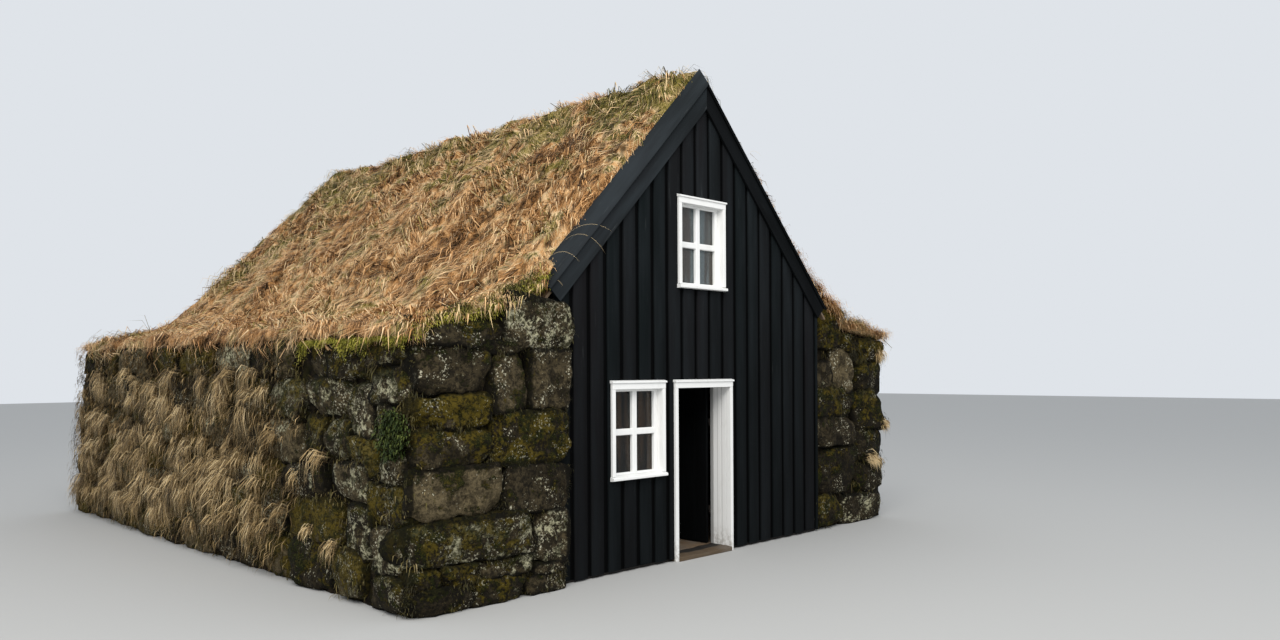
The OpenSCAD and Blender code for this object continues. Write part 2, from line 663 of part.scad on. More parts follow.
// Tilted verge board: its upper edge lies by the turf, its lower edge stands out in front
verge_top_y = gable_y + verge_back;
verge_low_y = verge_top_y - verge_w * cos(verge_tilt);
verge_low_d = verge_drop + verge_w * sin(verge_tilt);
function verge_under_d(y) = verge_drop + verge_t * cos(verge_tilt)
    + (verge_top_y + verge_t * sin(verge_tilt) - y) * tan(verge_tilt);
verge_len = (half_w + verge_over) / cos(roof_pitch);
fascia_len = (half_w + fascia_over) / cos(roof_pitch);
module half_space(side) {
    scale([side, 1, 1]) bar(0, far, -far, far, -far, far);
}
module verge_board(side) {
    thick_y = verge_t * sin(verge_tilt);
    thick_d = verge_t * cos(verge_tilt);
    color("black") intersection() {
        slope_frame(side, -ridge_h / 8, verge_len + ridge_h / 8) polygon([[verge_top_y, verge_drop],
            [verge_top_y + thick_y, verge_drop + thick_d],
            [verge_low_y + thick_y, verge_low_d + thick_d], [verge_low_y, verge_low_d]]);
        half_space(side);
    }
}
module left_verge_board() { verge_board(-1); }
module right_verge_board() { verge_board(1); }
module fascia(side) {
    y0 = board_face - fascia_t;
    y1 = board_face - seat;
    color("black") intersection() {
        slope_frame(side, -ridge_h / 8, fascia_len + ridge_h / 8) polygon([
            [y0, verge_under_d(y0) + seat], [y1, verge_under_d(y1) + seat],
            [y1, fascia_low], [y0, fascia_low]]);
        half_space(side);
    }
}
module left_fascia() { fascia(-1); }
module right_fascia() { fascia(1); }

module door_jamb(side) {
    x = side < 0 ? door_x0 - lining_t : door_x1;
    bar(x, x + lining_t, board_face, lining_y1, threshold_h, door_h);
}
module door_jamb_left() { color("white") door_jamb(-1); }
module door_jamb_right() { color("white") door_jamb(1); }
module door_head_board() {
    color("white")
        bar(door_x0 - lining_t, door_x1 + lining_t, board_face, lining_y1, door_h, door_h + lining_t);
}
module door_casing_left() {
    color("white") bar(door_x0 - casing_w, door_x0, casing_y, board_face, 0, door_h);
}
module door_casing_right() {
    color("white") bar(door_x1, door_x1 + casing_w, casing_y, board_face, 0, door_h);
}
// Cap over a casing: a board with a sloped top that throws the rain forward
module cap(x0, x1, z) {
    along(x0 - cap_out / 2, x1 + cap_out / 2) polygon([[board_face, z], [casing_y - cap_out, z],
        [casing_y - cap_out, z + cap_h * 0.6], [board_face, z + cap_h]]);
}
module door_head_casing() {
    top = door_h + head_h - cap_h;
    color("white") {
        bar(door_x0 - casing_w, door_x1 + casing_w, casing_y, board_face, door_h, top);
        cap(door_x0 - casing_w, door_x1 + casing_w, top);
    }
}
module threshold() {
    color("sienna") {
        bar(door_x0 - lining_t, door_x1 + lining_t, board_face, lining_y1, 0, threshold_h);
        bar(door_x0, door_x1, casing_y - cap_out, board_face, 0, threshold_h);
    }
}

// What moves with the door is drawn shut and turned open about the hinge axis
module opened() {
    translate([hinge_x, hinge_y, 0]) rotate([0, 0, -door_open]) translate([-hinge_x, -hinge_y, 0])
        children();
}
module door_leaf() {
    x0 = door_x0 + door_gap;
    x1 = door_x1 - door_gap;
    y1 = lining_y1;
    color("black") opened() {
        bar(x0, x1, y1 - leaf_t, y1, leaf_z0, leaf_z0 + leaf_h);
        for (z = [low_hinge_z, high_hinge_z])
            bar(x0 + casing_w, x1 - casing_w, y1, y1 + ledge_t, z - eye_h - ledge_h, z - eye_h);
    }
}
module hinge_heights() {
    for (z = [low_hinge_z, high_hinge_z]) translate([hinge_x, hinge_y, z]) children();
}
module door_straps() {
    color("darkgray") opened() hinge_heights() difference() {
        union() {
            translate([0, 0, -eye_h / 2]) cylinder(h = eye_h, r = eye_r, $fn = 32);
            translate([-strap_len, -hinge_out, -eye_h / 2]) cube([strap_len - pin_r / 2, strap_t, eye_h]);
            translate([-pin_r * 1.6, -hinge_out, -eye_h / 2]) cube([pin_r, hinge_out - pin_r, eye_h]);
        }
        translate([0, 0, -eye_h]) cylinder(h = 2 * eye_h, r = pin_r + pin_gap, $fn = 32);
    }
}
module door_pintles() {
    lug_top = -eye_h / 2 - 1;
    color("darkgray") hinge_heights() {
        translate([0, 0, lug_top - lug_h]) cylinder(h = lug_h, r = pin_r * 1.5, $fn = 32);
        translate([0, 0, lug_top - lug_h]) cylinder(h = lug_h + 1 + eye_h + 4, r = pin_r, $fn = 32);
        translate([0, -hinge_out, lug_top - lug_h]) cube([hinge_plate_w, hinge_out, lug_h]);
    }
}

module window_casing(x, z) {
    w = window_w / 2;
    head = z + window_h - head_h;
    foot = z + window_sill_h;
    top = z + window_h - cap_h;
    inner = w - casing_w;
    difference() {
        union() {
            bar(x - w, x + w, casing_y, board_face, foot - 1, top);
            cap(x - w, x + w, top);
            along(x - w - cap_out / 2, x + w + cap_out / 2) polygon([[board_face, z],
                [casing_y - sill_out, z], [casing_y - sill_out, foot - cap_h / 2], [board_face, foot]]);
            bar(x - inner - box_t, x + inner + box_t, board_face, frame_y1, foot - box_t, head + box_t);
        }
        bar(x - inner, x + inner, casing_y - sill_out - 1, frame_y1 + 1, foot, head);
    }
}
module window_sash(x, z) {
    inner = window_w / 2 - casing_w;
    head = z + window_h - head_h;
    foot = z + window_sill_h;
    middle = (head + foot) / 2;
    difference() {
        bar(x - inner, x + inner, sash_y, sash_y + sash_t, foot, head);
        for (side = [-1, 1], part = [0, 1]) {
            x0 = side < 0 ? x - inner + sash_w : x + bar_w / 2;
            x1 = side < 0 ? x - bar_w / 2 : x + inner - sash_w;
            z0 = part == 0 ? foot + rail_w : middle + bar_w / 2;
            z1 = part == 0 ? middle - bar_w / 2 : head - rail_w;
            bar(x0, x1, sash_y - 1, sash_y + sash_t + 1, z0, z1);
        }
    }
}
module window_glass(x, z) {
    inner = window_w / 2 - casing_w;
    bar(x - inner, x + inner, sash_y + sash_t, sash_y + sash_t + glass_t,
        z + window_sill_h, z + window_h - head_h);
}
module lower_window_casing() { color("white") window_casing(low_window_x, low_window_z); }
module lower_window_sash() { color("white") window_sash(low_window_x, low_window_z); }
module lower_window_glass() { color("slategray") window_glass(low_window_x, low_window_z); }
module upper_window_casing() { color("white") window_casing(high_window_x, high_window_z); }
module upper_window_sash() { color("white") window_sash(high_window_x, high_window_z); }
module upper_window_glass() { color("slategray") window_glass(high_window_x, high_window_z); }

left_wall();
right_wall();
rear_wall();
left_turf();
right_turf();
rear_turf();
left_sheathing();
right_sheathing();
left_rafters();
right_rafters();
ridge_beam();
collar_ties();
left_wall_plate();
right_wall_plate();
left_posts();
right_posts();
loft_joists();
loft_floor();
ground_floor();
gable_boards_left();
gable_boards_right();
gable_boards_upper();
gable_frame_left();
gable_frame_right();
gable_frame_upper();
left_fascia();
right_fascia();
left_verge_board();
right_verge_board();
door_jamb_left();
door_jamb_right();
door_head_board();
door_casing_left();
door_casing_right();
door_head_casing();
threshold();
door_leaf();
door_straps();
door_pintles();
lower_window_casing();
lower_window_sash();
lower_window_glass();
upper_window_casing();
upper_window_sash();
upper_window_glass();
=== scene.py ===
import math

import bpy
import numpy as np
from mathutils import Matrix, Vector


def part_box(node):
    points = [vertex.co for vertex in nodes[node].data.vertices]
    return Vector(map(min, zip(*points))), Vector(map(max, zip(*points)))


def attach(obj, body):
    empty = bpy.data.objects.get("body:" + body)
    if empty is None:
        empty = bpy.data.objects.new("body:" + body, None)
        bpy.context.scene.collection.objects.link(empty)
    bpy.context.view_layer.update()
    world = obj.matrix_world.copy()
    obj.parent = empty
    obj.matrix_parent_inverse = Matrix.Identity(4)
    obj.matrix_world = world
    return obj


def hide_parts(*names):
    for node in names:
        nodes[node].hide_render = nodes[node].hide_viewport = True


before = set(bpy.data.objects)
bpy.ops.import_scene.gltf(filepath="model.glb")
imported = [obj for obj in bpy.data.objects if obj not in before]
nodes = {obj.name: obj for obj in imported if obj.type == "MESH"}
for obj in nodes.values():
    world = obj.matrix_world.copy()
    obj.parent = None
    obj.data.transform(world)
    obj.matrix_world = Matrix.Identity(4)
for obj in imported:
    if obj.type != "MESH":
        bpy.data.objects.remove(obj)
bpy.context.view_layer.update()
print("frame loaded:", len(nodes), "nodes")

# Lengths in metres, angles in degrees. Left and right are as seen from the street, which lies at low y
house = dict(
    halfWidth=1.98, shoulder=2.456, eaveX=2.12, pitch=46.3, turf=0.2, boarding=0.025,
    noseLeft=-4.30, noseRight=-4.17, leftFoot=-3.52, party=3.516, rear=4.30, innerRear=2.85,
    ledge=2.25, ledgeY=4.15, leftTop=2.18, rightTop=2.25, leftEdge=3.42, rightEdge=3.52,
    edgeTurf=0.095, edgeRound=0.055, ridgeRound=0.15, valleyRound=0.90, gableLean=0.58,
    sideBatter=0.10, rearBatter=0.15, noseBatter=0.03)
slope = math.radians(house["pitch"])
cosSlope, sinSlope, tanSlope = math.cos(slope), math.sin(slope), math.tan(slope)
ridge = (house["shoulder"] + house["eaveX"] * tanSlope
         + (house["turf"] + house["boarding"]) / cosSlope)
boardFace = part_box("gable_boards_upper")[0].y
rearLean = house["gableLean"] / (ridge - house["ledge"])


# Height of a line that lies square under the roof's upper plane by a depth, at a distance x from the middle
def roofLine(x, depth):
    return ridge - np.abs(x) * tanSlope - depth / cosSlope


# Shapes
# Sum of plane waves of about the given size, each with its own direction and phase. It runs from about -1
# to 1
def ripple(points, size, seed):
    count, rng = 22, np.random.default_rng(seed)
    ways = rng.normal(size=(count, 3))
    ways /= np.linalg.norm(ways, axis=1, keepdims=True)
    ways *= 2 * np.pi / (size * rng.uniform(0.7, 1.6, (count, 1)))
    phase = rng.uniform(0, 2 * np.pi, count)
    flat = np.asarray(points, float).reshape(-1, 3)
    total = np.zeros(len(flat))
    for way, start in zip(ways, phase):
        total += np.sin(flat @ way + start)
    return (total / math.sqrt(count)).reshape(np.shape(points)[:-1])


# The same, kept between -1 and 1
def wave(points, size, seed):
    return np.clip(ripple(points, size, seed), -1, 1)


# A curve from 0 to 1 that leaves and arrives level
def ease(value, low, high):
    t = np.clip((np.asarray(value, float) - low) / (high - low), 0, 1)
    return t * t * (3 - 2 * t)


def unit(vectors):
    return vectors / np.maximum(np.linalg.norm(vectors, axis=-1, keepdims=True), 1e-9)


# Closed tubes: each ring's point i is joined to point i of the next ring, and the two ends are closed
# by a flat face, or by a fan of triangles to a tip
def tubes(rings, tips=None):
    rings = np.asarray(rings, float)
    if rings.ndim == 3:
        rings = rings[None]
    count, stations, around, _ = rings.shape
    index = np.arange(count * stations * around).reshape(count, stations, around)
    near, far = index[:, :-1], index[:, 1:]
    sides = np.stack([near, np.roll(near, -1, 2), np.roll(far, -1, 2), far], -1).reshape(-1, 4)
    points = rings.reshape(-1, 3)
    start, end = index[:, 0], index[:, -1]
    if tips is None:
        return points, [sides, start[:, ::-1], end]
    tips = np.asarray(tips, float).reshape(count, 2, 3)
    first = len(points) + np.arange(count)[:, None] + np.zeros_like(start)
    last = first + count
    fans = np.concatenate([
        np.stack([np.roll(start, -1, 1), start, first], -1).reshape(-1, 3),
        np.stack([end, np.roll(end, -1, 1), last], -1).reshape(-1, 3)])
    return np.concatenate([points, tips[:, 0], tips[:, 1]]), [sides, fans]


# Several lots of points and faces as one lot
def joined(lots):
    points, faces, start = [], {}, 0
    for lotPoints, lotFaces in lots:
        points.append(lotPoints)
        for group in lotFaces:
            faces.setdefault(group.shape[1], []).append(group + start)
        start += len(lotPoints)
    return np.concatenate(points), [np.concatenate(groups) for groups in faces.values()]


# Six times the volume that the faces enclose, which is below nought where they point inwards
def volume(points, faces):
    total = 0.0
    for group in faces:
        a = points[group[:, 0]]
        for k in range(1, group.shape[1] - 1):
            b, c = points[group[:, k]], points[group[:, k + 1]]
            total += np.einsum("ij,ij->", a, np.cross(b, c))
    return total


# Puts points and faces in a new mesh piece at the origin, riding on a body
def makePiece(name, shape, finish, replaces=(), body="house", smooth=False, marks=None,
              uv=None, closed=True):
    points, faces = shape
    if closed and volume(points, faces) < 0:
        faces = [group[:, ::-1] for group in faces]
    loops = np.concatenate([group.ravel() for group in faces]).astype(np.int32)
    sizes = np.concatenate([np.full(len(group), group.shape[1]) for group in faces])
    mesh = bpy.data.meshes.new(name)
    mesh.vertices.add(len(points))
    mesh.vertices.foreach_set("co", points.astype(np.float32).ravel())
    mesh.loops.add(len(loops))
    mesh.loops.foreach_set("vertex_index", loops)
    mesh.polygons.add(len(sizes))
    starts = np.concatenate([[0], np.cumsum(sizes)[:-1]]).astype(np.int32)
    mesh.polygons.foreach_set("loop_start", starts)
    mesh.polygons.foreach_set("use_smooth", np.full(len(sizes), bool(smooth)))
    mesh.update(calc_edges=True)
    for mark, values in (marks or {}).items():
        layer = mesh.attributes.new(mark, "FLOAT", "POINT")
        layer.data.foreach_set("value", np.asarray(values, np.float32).ravel())
    if uv is not None:
        layer = mesh.uv_layers.new(name="OFBake")
        layer.data.foreach_set("uv", uv[loops].astype(np.float32).ravel())
    mesh.materials.append(finish)
    piece = bpy.data.objects.new(name, mesh)
    bpy.context.scene.collection.objects.link(piece)
    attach(piece, body)
    if replaces:
        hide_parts(*replaces)


# Outline of a rectangle whose corners are quarter circles, anticlockwise about its middle
def roundedOutline(width, depth, radius, steps):
    turn = np.linspace(0, math.pi / 2, steps) + np.arange(4)[:, None] * math.pi / 2
    cornerX = np.array([1, -1, -1, 1])[:, None] * (width / 2 - radius)
    cornerY = np.array([1, 1, -1, -1])[:, None] * (depth / 2 - radius)
    outline = np.stack([cornerX + radius * np.cos(turn), cornerY + radius * np.sin(turn)], -1)
    return outline.reshape(-1, 2)


# A squared timber between two corners: a rounded outline carried along its longest side, drawn in
# by the same radius at both ends
def timber(low, high, radius):
    low, high, steps = np.array(low, float), np.array(high, float), 3
    size, middle = high - low, (high + low) / 2
    axis = int(np.argmax(size))
    across, upward = [(1, 2), (2, 0), (0, 1)][axis]
    turn = np.linspace(0, math.pi / 2, steps)
    inset, run = radius * (1 - np.sin(turn)), radius * (1 - np.cos(turn))
    places = np.concatenate([low[axis] + run, high[axis] - run[::-1]])
    insets = np.concatenate([inset, inset[::-1]])
    rings = np.zeros((len(places), 4 * steps, 3))
    for k, (place, less) in enumerate(zip(places, insets)):
        outline = roundedOutline(size[across] - 2 * less, size[upward] - 2 * less,
                                 max(radius - less, 1e-4), steps)
        rings[k, :, axis] = place
        rings[k, :, across] = middle[across] + outline[:, 0]
        rings[k, :, upward] = middle[upward] + outline[:, 1]
    return tubes(rings)


# Outline with each corner cut by a short curve: it leaves one side and joins the next at the radius
def softened(corners, radius):
    corners = np.asarray(corners, float)
    before = corners + radius * unit(np.roll(corners, 1, 0) - corners)
    after = corners + radius * unit(np.roll(corners, -1, 0) - corners)
    middle = 0.25 * before + 0.5 * corners + 0.25 * after
    return np.stack([before, middle, after], 1).reshape(-1, 2)


# Outline drawn in y and z, carried along x from one end to the other
def moulding(outline, x0, x1, radius):
    outline = softened(outline, radius)
    rings = np.zeros((2, len(outline), 3))
    rings[:, :, 0] = np.array([[x0], [x1]])
    rings[:, :, 1:] = outline
    return tubes(rings)


# Finishes
# One output of a node; sums on it add Math nodes
class Wire:
    def __init__(self, finish, socket):
        self.finish, self.socket = finish, socket

    def __add__(self, other):
        return self.finish.sum("ADD", self, other)

    def __sub__(self, other):
        return self.finish.sum("SUBTRACT", self, other)

    def __rsub__(self, other):
        return self.finish.sum("SUBTRACT", other, self)

    def __mul__(self, other):
        return self.finish.sum("MULTIPLY", self, other)

    __radd__, __rmul__ = __add__, __mul__


class Finish:
    def __init__(self, name):
        self.material = bpy.data.materials.new(name)
        self.material.use_nodes = True
        self.tree = self.material.node_tree
        self.tree.nodes.clear()
        self.objectCoords = self.node("TexCoord", {}, {}, "Object")

    # Adds any node: its type, its settings, the values or links of its sockets, and the output wanted
    def node(self, kind, settings, inputs, output=0):
        made = self.tree.nodes.new("ShaderNode" + kind)
        for name, value in settings.items():
            if name == "stops":
                for k, (place, colour) in enumerate(value):
                    stop = made.color_ramp.elements[k] if k < 2 else made.color_ramp.elements.new(place)
                    stop.position, stop.color = place, (*colour, 1)
            else:
                setattr(made, name, value)
        for name, value in inputs.items():
            if isinstance(value, Wire):
                self.tree.links.new(value.socket, made.inputs[name])
            else:
                made.inputs[name].default_value = value
        return Wire(self, made.outputs[output])

    def sum(self, operation, a, b):
        return self.node("Math", {"operation": operation}, {0: a, 1: b})

    # Noise over object coordinates, which can be turned about one axis first. Its fineness is one number, or
    # one for each axis
    def noise(self, fine, detail, rough=0.55, warp=0.0, turn=(0, 0, 0)):
        place, even = self.objectCoords, not isinstance(fine, tuple)
        if any(turn):
            place = self.node("Mapping", {}, {"Vector": place, "Rotation": turn})
        place = self.node("Mapping", {}, {"Vector": place, "Scale": (1, 1, 1) if even else fine})
        return self.node("TexNoise", {}, {"Vector": place, "Scale": fine if even else 1.0, "Detail": detail,
                                          "Roughness": rough, "Distortion": warp}, "Fac")

    # 0 below the low value, 1 above the high one, and level at both
    def mask(self, value, low, high):
        return self.node("MapRange", {"interpolation_type": "SMOOTHSTEP"},
                         {"Value": value, "From Min": low, "From Max": high})

    def mark(self, name):
        return self.node("Attribute", {"attribute_name": name}, {}, "Fac")

    def mix(self, share, a, b):
        a, b = ((*c, 1) if isinstance(c, tuple) else c for c in (a, b))
        return self.node("Mix", {"data_type": "RGBA"}, {0: share, 6: a, 7: b}, 2)

    def ramp(self, value, stops):
        return self.node("ValToRGB", {"stops": stops}, {"Fac": value}, "Color")

    def split(self, vector, axis):
        return self.node("SeparateXYZ", {}, {"Vector": vector}, axis)

    def bump(self, height, distance):
        return self.node("Bump", {}, {"Distance": distance, "Height": height}, "Normal")

    # The finish itself; its sheen and its share of metal are even all over
    def surface(self, colour, roughness, normal=None, sheen=0.5, metal=0.0):
        inputs = {"Base Color": (*colour, 1) if isinstance(colour, tuple) else colour,
                  "Roughness": roughness, "Specular IOR Level": sheen, "Metallic": metal}
        if normal is not None:
            inputs["Normal"] = normal
        self.finishWith(self.node("BsdfPrincipled", {}, inputs))
        return self.material

    def finishWith(self, shader):
        out = self.tree.nodes.new("ShaderNodeOutputMaterial")
        self.tree.links.new(shader.socket, out.inputs["Surface"])


# Tarred boards: near black, each board a little cooler or warmer and blacker near the ground, with faint
# raised grain along z. The deep mark is painted shade: it blackens the grooves, the boards' right edges and
# the door
def tarred(name, light, turn=(0, 0, 0), marked=True):
    f = Finish(name)
    black, brown, grey, worn = (tuple(light * c for c in colour) for colour in (
        (0.0026, 0.0040, 0.0044), (0.0050, 0.0048, 0.0054), (0.0085, 0.0105, 0.0120), (0.030, 0.033, 0.034)))
    grain = f.noise((60, 60, 2.2), 5, 0.6, turn=turn)
    broad = f.noise((7, 7, 0.9), 3, turn=turn)
    wear = f.mask(f.noise((26, 26, 1.8), 6, 0.7, turn=turn), 0.60, 0.78)
    tone = f.mark("tone") if marked else f.noise((1.2, 1.2, 0.4), 2, turn=turn)
    base = f.mix(tone, black, brown)
    base = f.mix(f.mask(broad, 0.3, 0.8) * 0.7, base, grey)
    base = f.mix(wear * 0.5, base, worn)
    if marked:
        low = f.mask(f.split(f.objectCoords, "Z"), 3.2, 0.8)
        base = f.mix(low * 0.50, base, (0.0022, 0.0027, 0.0030))
        # Painted shade: where the deep mark is high the tar goes nearly black
        base = f.mix(f.mark("deep") * 0.92, base, (0.0003, 0.0003, 0.0004))
    return f.surface(base, 0.60 + 0.25 * grain, f.bump(grain * 0.7 + broad * 0.6, 0.0030), sheen=0.05)


# White oil paint: brush marks along z, a little grey dirt where it is rough and near the ground. On the
# door's lining fine joints show at some depths, and the rebate behind the last one is darkened by painted
# shade
def whitePaint(name, joints=()):
    f = Finish(name)
    brush = f.noise((150, 150, 5), 4)
    dirt = f.mask(f.noise((9, 9, 4), 6, 0.65), 0.50, 0.78)
    height = f.split(f.objectCoords, "Z")
    splash = f.mask(0.30 - height, 0.0, 0.32) * f.mask(f.noise(22, 5, 0.7), 0.38, 0.66)
    chip = f.mask(f.noise((46, 46, 20), 4, 0.6), 0.70, 0.76)
    colour = f.mix(dirt * 0.28, (0.88, 0.88, 0.865), (0.58, 0.57, 0.53))
    colour = f.mix(splash * 0.65, colour, (0.20, 0.165, 0.11))
    colour = f.mix(chip * 0.6, colour, (0.42, 0.38, 0.32))
    depth = f.split(f.objectCoords, "Y")
    for joint in joints:
        line = f.mask(depth, joint - 0.004, joint - 0.001) * f.mask(depth, joint + 0.004, joint + 0.001)
        colour = f.mix(line * 0.6, colour, (0.20, 0.19, 0.17))
    # Painted shade in the rebate behind the last joint
    if joints:
        colour = f.mix(f.mask(depth, joints[-1], joints[-1] + 0.004) * 0.7, colour, (0.10, 0.10, 0.095))
    return f.surface(colour, 0.42 + 0.25 * dirt, f.bump(brush * 0.5 - chip * 0.8, 0.0012))


# Bare timber: bands and fine fibres along one axis, darker where the wood is older, and nearly black with
# painted shade from a given depth on
def bareWood(name, pale, dark, along, weather=0.0, shadeFrom=None):
    f = Finish(name)
    band = f.noise(tuple(1.2 if axis == along else 16 for axis in "xyz"), 4, 0.6, 0.8)
    fibre = f.noise(tuple(4 if axis == along else 130 for axis in "xyz"), 3)
    grey = f.mask(f.noise(3.0, 5), 0.35, 0.7)
    colour = f.mix(band, pale, dark)
    colour = f.mix(fibre * 0.5, colour, tuple(0.45 * c for c in dark))
    if weather:
        colour = f.mix(grey * weather, colour, (0.19, 0.18, 0.165))
    # Painted shade: from this depth inwards the wood is darkened nearly to black
    if shadeFrom is not None:
        wet = f.mask(f.split(f.objectCoords, "Y") + (band - 0.5) * 0.06, shadeFrom, shadeFrom + 0.03)
        colour = f.mix(wet * 0.93, colour, (0.004, 0.003, 0.0025))
    return f.surface(colour, 0.62 + 0.25 * fibre, f.bump(fibre * 0.6 + band * 0.6, 0.002))


# Lava stone: brown-grey with dark pits and pale grains, flecks and crusts of lichen, and mottled moss. The
# marks on the mesh say how pale, how mossy and how much overgrown with lichen each stone is, and how far a
# place is from the joint round it, where painted shade darkens the stone and its moss
def lavaStone(name):
    f = Finish(name)
    tone, moss, lichen, up, rim = (f.mark(m) for m in ("tone", "moss", "lichen", "up", "rim"))
    broad = f.noise(3.6, 5, 0.6)
    patch = f.noise(9, 6, 0.70)
    fine = f.noise(30, 6, 0.74)
    grain = f.noise((84, 84, 109.2), 4, 0.7)
    speck = f.noise(52, 3, 0.6)
    base = f.mix(f.mask(broad * 0.7 + tone * 0.75, 0.42, 1.00), (0.034, 0.026, 0.014),
                 (0.180, 0.140, 0.076))
    colour = f.mix(f.mask(fine, 0.55, 0.40) * (0.95 - tone * 0.50), base, (0.007, 0.0055, 0.0035))
    colour = f.mix(f.mask(patch, 0.49, 0.43) * (0.90 - tone * 0.50), colour, (0.010, 0.008, 0.005))
    crust = f.mask(f.noise(6, 7, 0.72) * 1.2 + lichen * 0.42 + fine * 0.5, 1.11, 1.16)
    cluster = f.mask(f.noise(4.5, 4, 0.6) + lichen * 0.12, 0.50, 0.64)
    fleck = f.mask(speck + cluster * 0.14, 0.715, 0.745)
    pale = f.mix(f.mask(fine, 0.46, 0.56), (0.090, 0.086, 0.045), (0.56, 0.53, 0.35))
    colour = f.mix(crust * 0.9, colour, pale)
    # Painted shade: dark towards the joint round each stone, broken by patches; it darkens the moss below as
    # well
    dirt = f.mask(rim + (patch - 0.5) * 0.8, 0.44, 0.16)
    colour = f.mix(dirt * 0.92, colour, (0.006, 0.0050, 0.0028))
    growth = f.noise(5.5, 7, 0.74)
    felt = f.mask(growth * 1.3 + moss * 0.42 + up * 0.16 + (fine - 0.5) * 0.6, 0.88, 0.98)
    hue = f.noise(8, 5, 0.7) + (moss - 0.65) * 0.30
    green = f.mix(f.mask(hue, 0.42, 0.58), (0.012, 0.016, 0.002), (0.098, 0.070, 0.007))
    green = f.mix(f.mask(fine, 0.53, 0.42) * 0.85, green, (0.008, 0.008, 0.0015))
    green = f.mix(f.mask(grain, 0.54, 0.64) * 0.4, green, (0.180, 0.145, 0.028))
    green = f.mix(dirt * 0.75, green, (0.009, 0.008, 0.002))
    colour = f.mix(felt * 0.94, colour, green)
    colour = f.mix(fleck * (1 - dirt * 0.9) * (1 - felt * 0.5), colour, (0.56, 0.53, 0.39))
    height = broad * 0.5 + patch * 0.6 + fine * 0.9 + grain * 0.25 + crust * 0.12 + felt * 0.5
    return f.surface(colour, 0.92, f.bump(height, 0.036), sheen=0.12)


# Earth packed between the stones: dark brown soil, roots and a little moss
def packedEarth(name):
    f = Finish(name)
    clod = f.noise(11, 7, 0.7)
    moss = f.mask(f.noise(5, 5, 0.6), 0.52, 0.68)
    colour = f.mix(f.mask(clod, 0.35, 0.70), (0.003, 0.0025, 0.002), (0.026, 0.019, 0.011))
    colour = f.mix(moss * 0.6, colour, f.mix(clod, (0.006, 0.007, 0.001), (0.040, 0.034, 0.006)))
    return f.surface(colour, 0.95, f.bump(clod, 0.03), sheen=0.1)


mossStops = [
    (0.00, (0.010, 0.010, 0.002)), (0.30, (0.040, 0.036, 0.007)), (0.55, (0.100, 0.082, 0.020)),
    (0.80, (0.200, 0.150, 0.055)), (1.00, (0.420, 0.330, 0.170))]
grassStops = [
    (0.00, (0.030, 0.016, 0.007)), (0.16, (0.150, 0.072, 0.025)), (0.30, (0.480, 0.235, 0.082)),
    (0.44, (0.780, 0.455, 0.200)), (0.58, (0.900, 0.660, 0.380)), (0.70, (0.410, 0.310, 0.105)),
    (0.84, (0.215, 0.180, 0.032)), (1.00, (0.050, 0.054, 0.008))]
hairStops = [
    (0.00, (0.022, 0.016, 0.007)), (0.30, (0.100, 0.068, 0.028)), (0.55, (0.350, 0.235, 0.100)),
    (0.80, (0.640, 0.445, 0.205)), (1.00, (0.800, 0.620, 0.350))]
cushionStops = [
    (0.00, (0.030, 0.032, 0.004)), (0.35, (0.120, 0.120, 0.012)), (0.65, (0.300, 0.280, 0.030)),
    (1.00, (0.500, 0.450, 0.080))]
leafStops = [
    (0.00, (0.012, 0.026, 0.003)), (0.50, (0.028, 0.043, 0.008)), (1.00, (0.090, 0.112, 0.022))]


# Blades: the tone mark picks the colour from the stops. A blade is dark at its root and paler at its tip
def grassFinish(name, stops, dryTip=0.25):
    f = Finish(name)
    along = f.mark("along")
    colour = f.ramp(f.mark("tone"), stops)
    colour = f.mix(f.mask(along, 0.55, 0.0) * 0.75, colour, (0.030, 0.018, 0.006))
    colour = f.mix(f.mask(along, 0.75, 1.0) * dryTip, colour, (0.62, 0.47, 0.26))
    return f.surface(colour, 0.62, sheen=0.25)


# Thatch under the blades: the same tones, broken by fibres that run down the slope, and darkened by painted
# shade in the hollows and under the tussocks' lips
def thatchFinish(name):
    f = Finish(name)
    fibre = f.noise((22, 60, 22), 5, 0.65, 0.6)
    fleck = f.noise(45, 5, 0.7)
    tone = f.mark("tone") + (fleck - 0.5) * 0.5 + (fibre - 0.5) * 0.45
    colour = f.ramp(tone, grassStops)
    # Painted shade in the hollows and under the lips
    hollow = f.mask(f.mark("hollow") + (fibre - 0.5) * 0.6, 0.30, 0.95)
    colour = f.mix(hollow * 0.85, colour, (0.024, 0.015, 0.006))
    return f.surface(colour, 0.95, f.bump(fibre + fleck * 0.8, 0.03), sheen=0.1)


def hingeIron(name):
    f = Finish(name)
    rust = f.mask(f.noise(70, 6, 0.7), 0.45, 0.65)
    colour = f.mix(rust, (0.006, 0.006, 0.006), (0.026, 0.015, 0.009))
    return f.surface(colour, 0.55 + 0.3 * rust, f.bump(rust, 0.0006), metal=0.6)


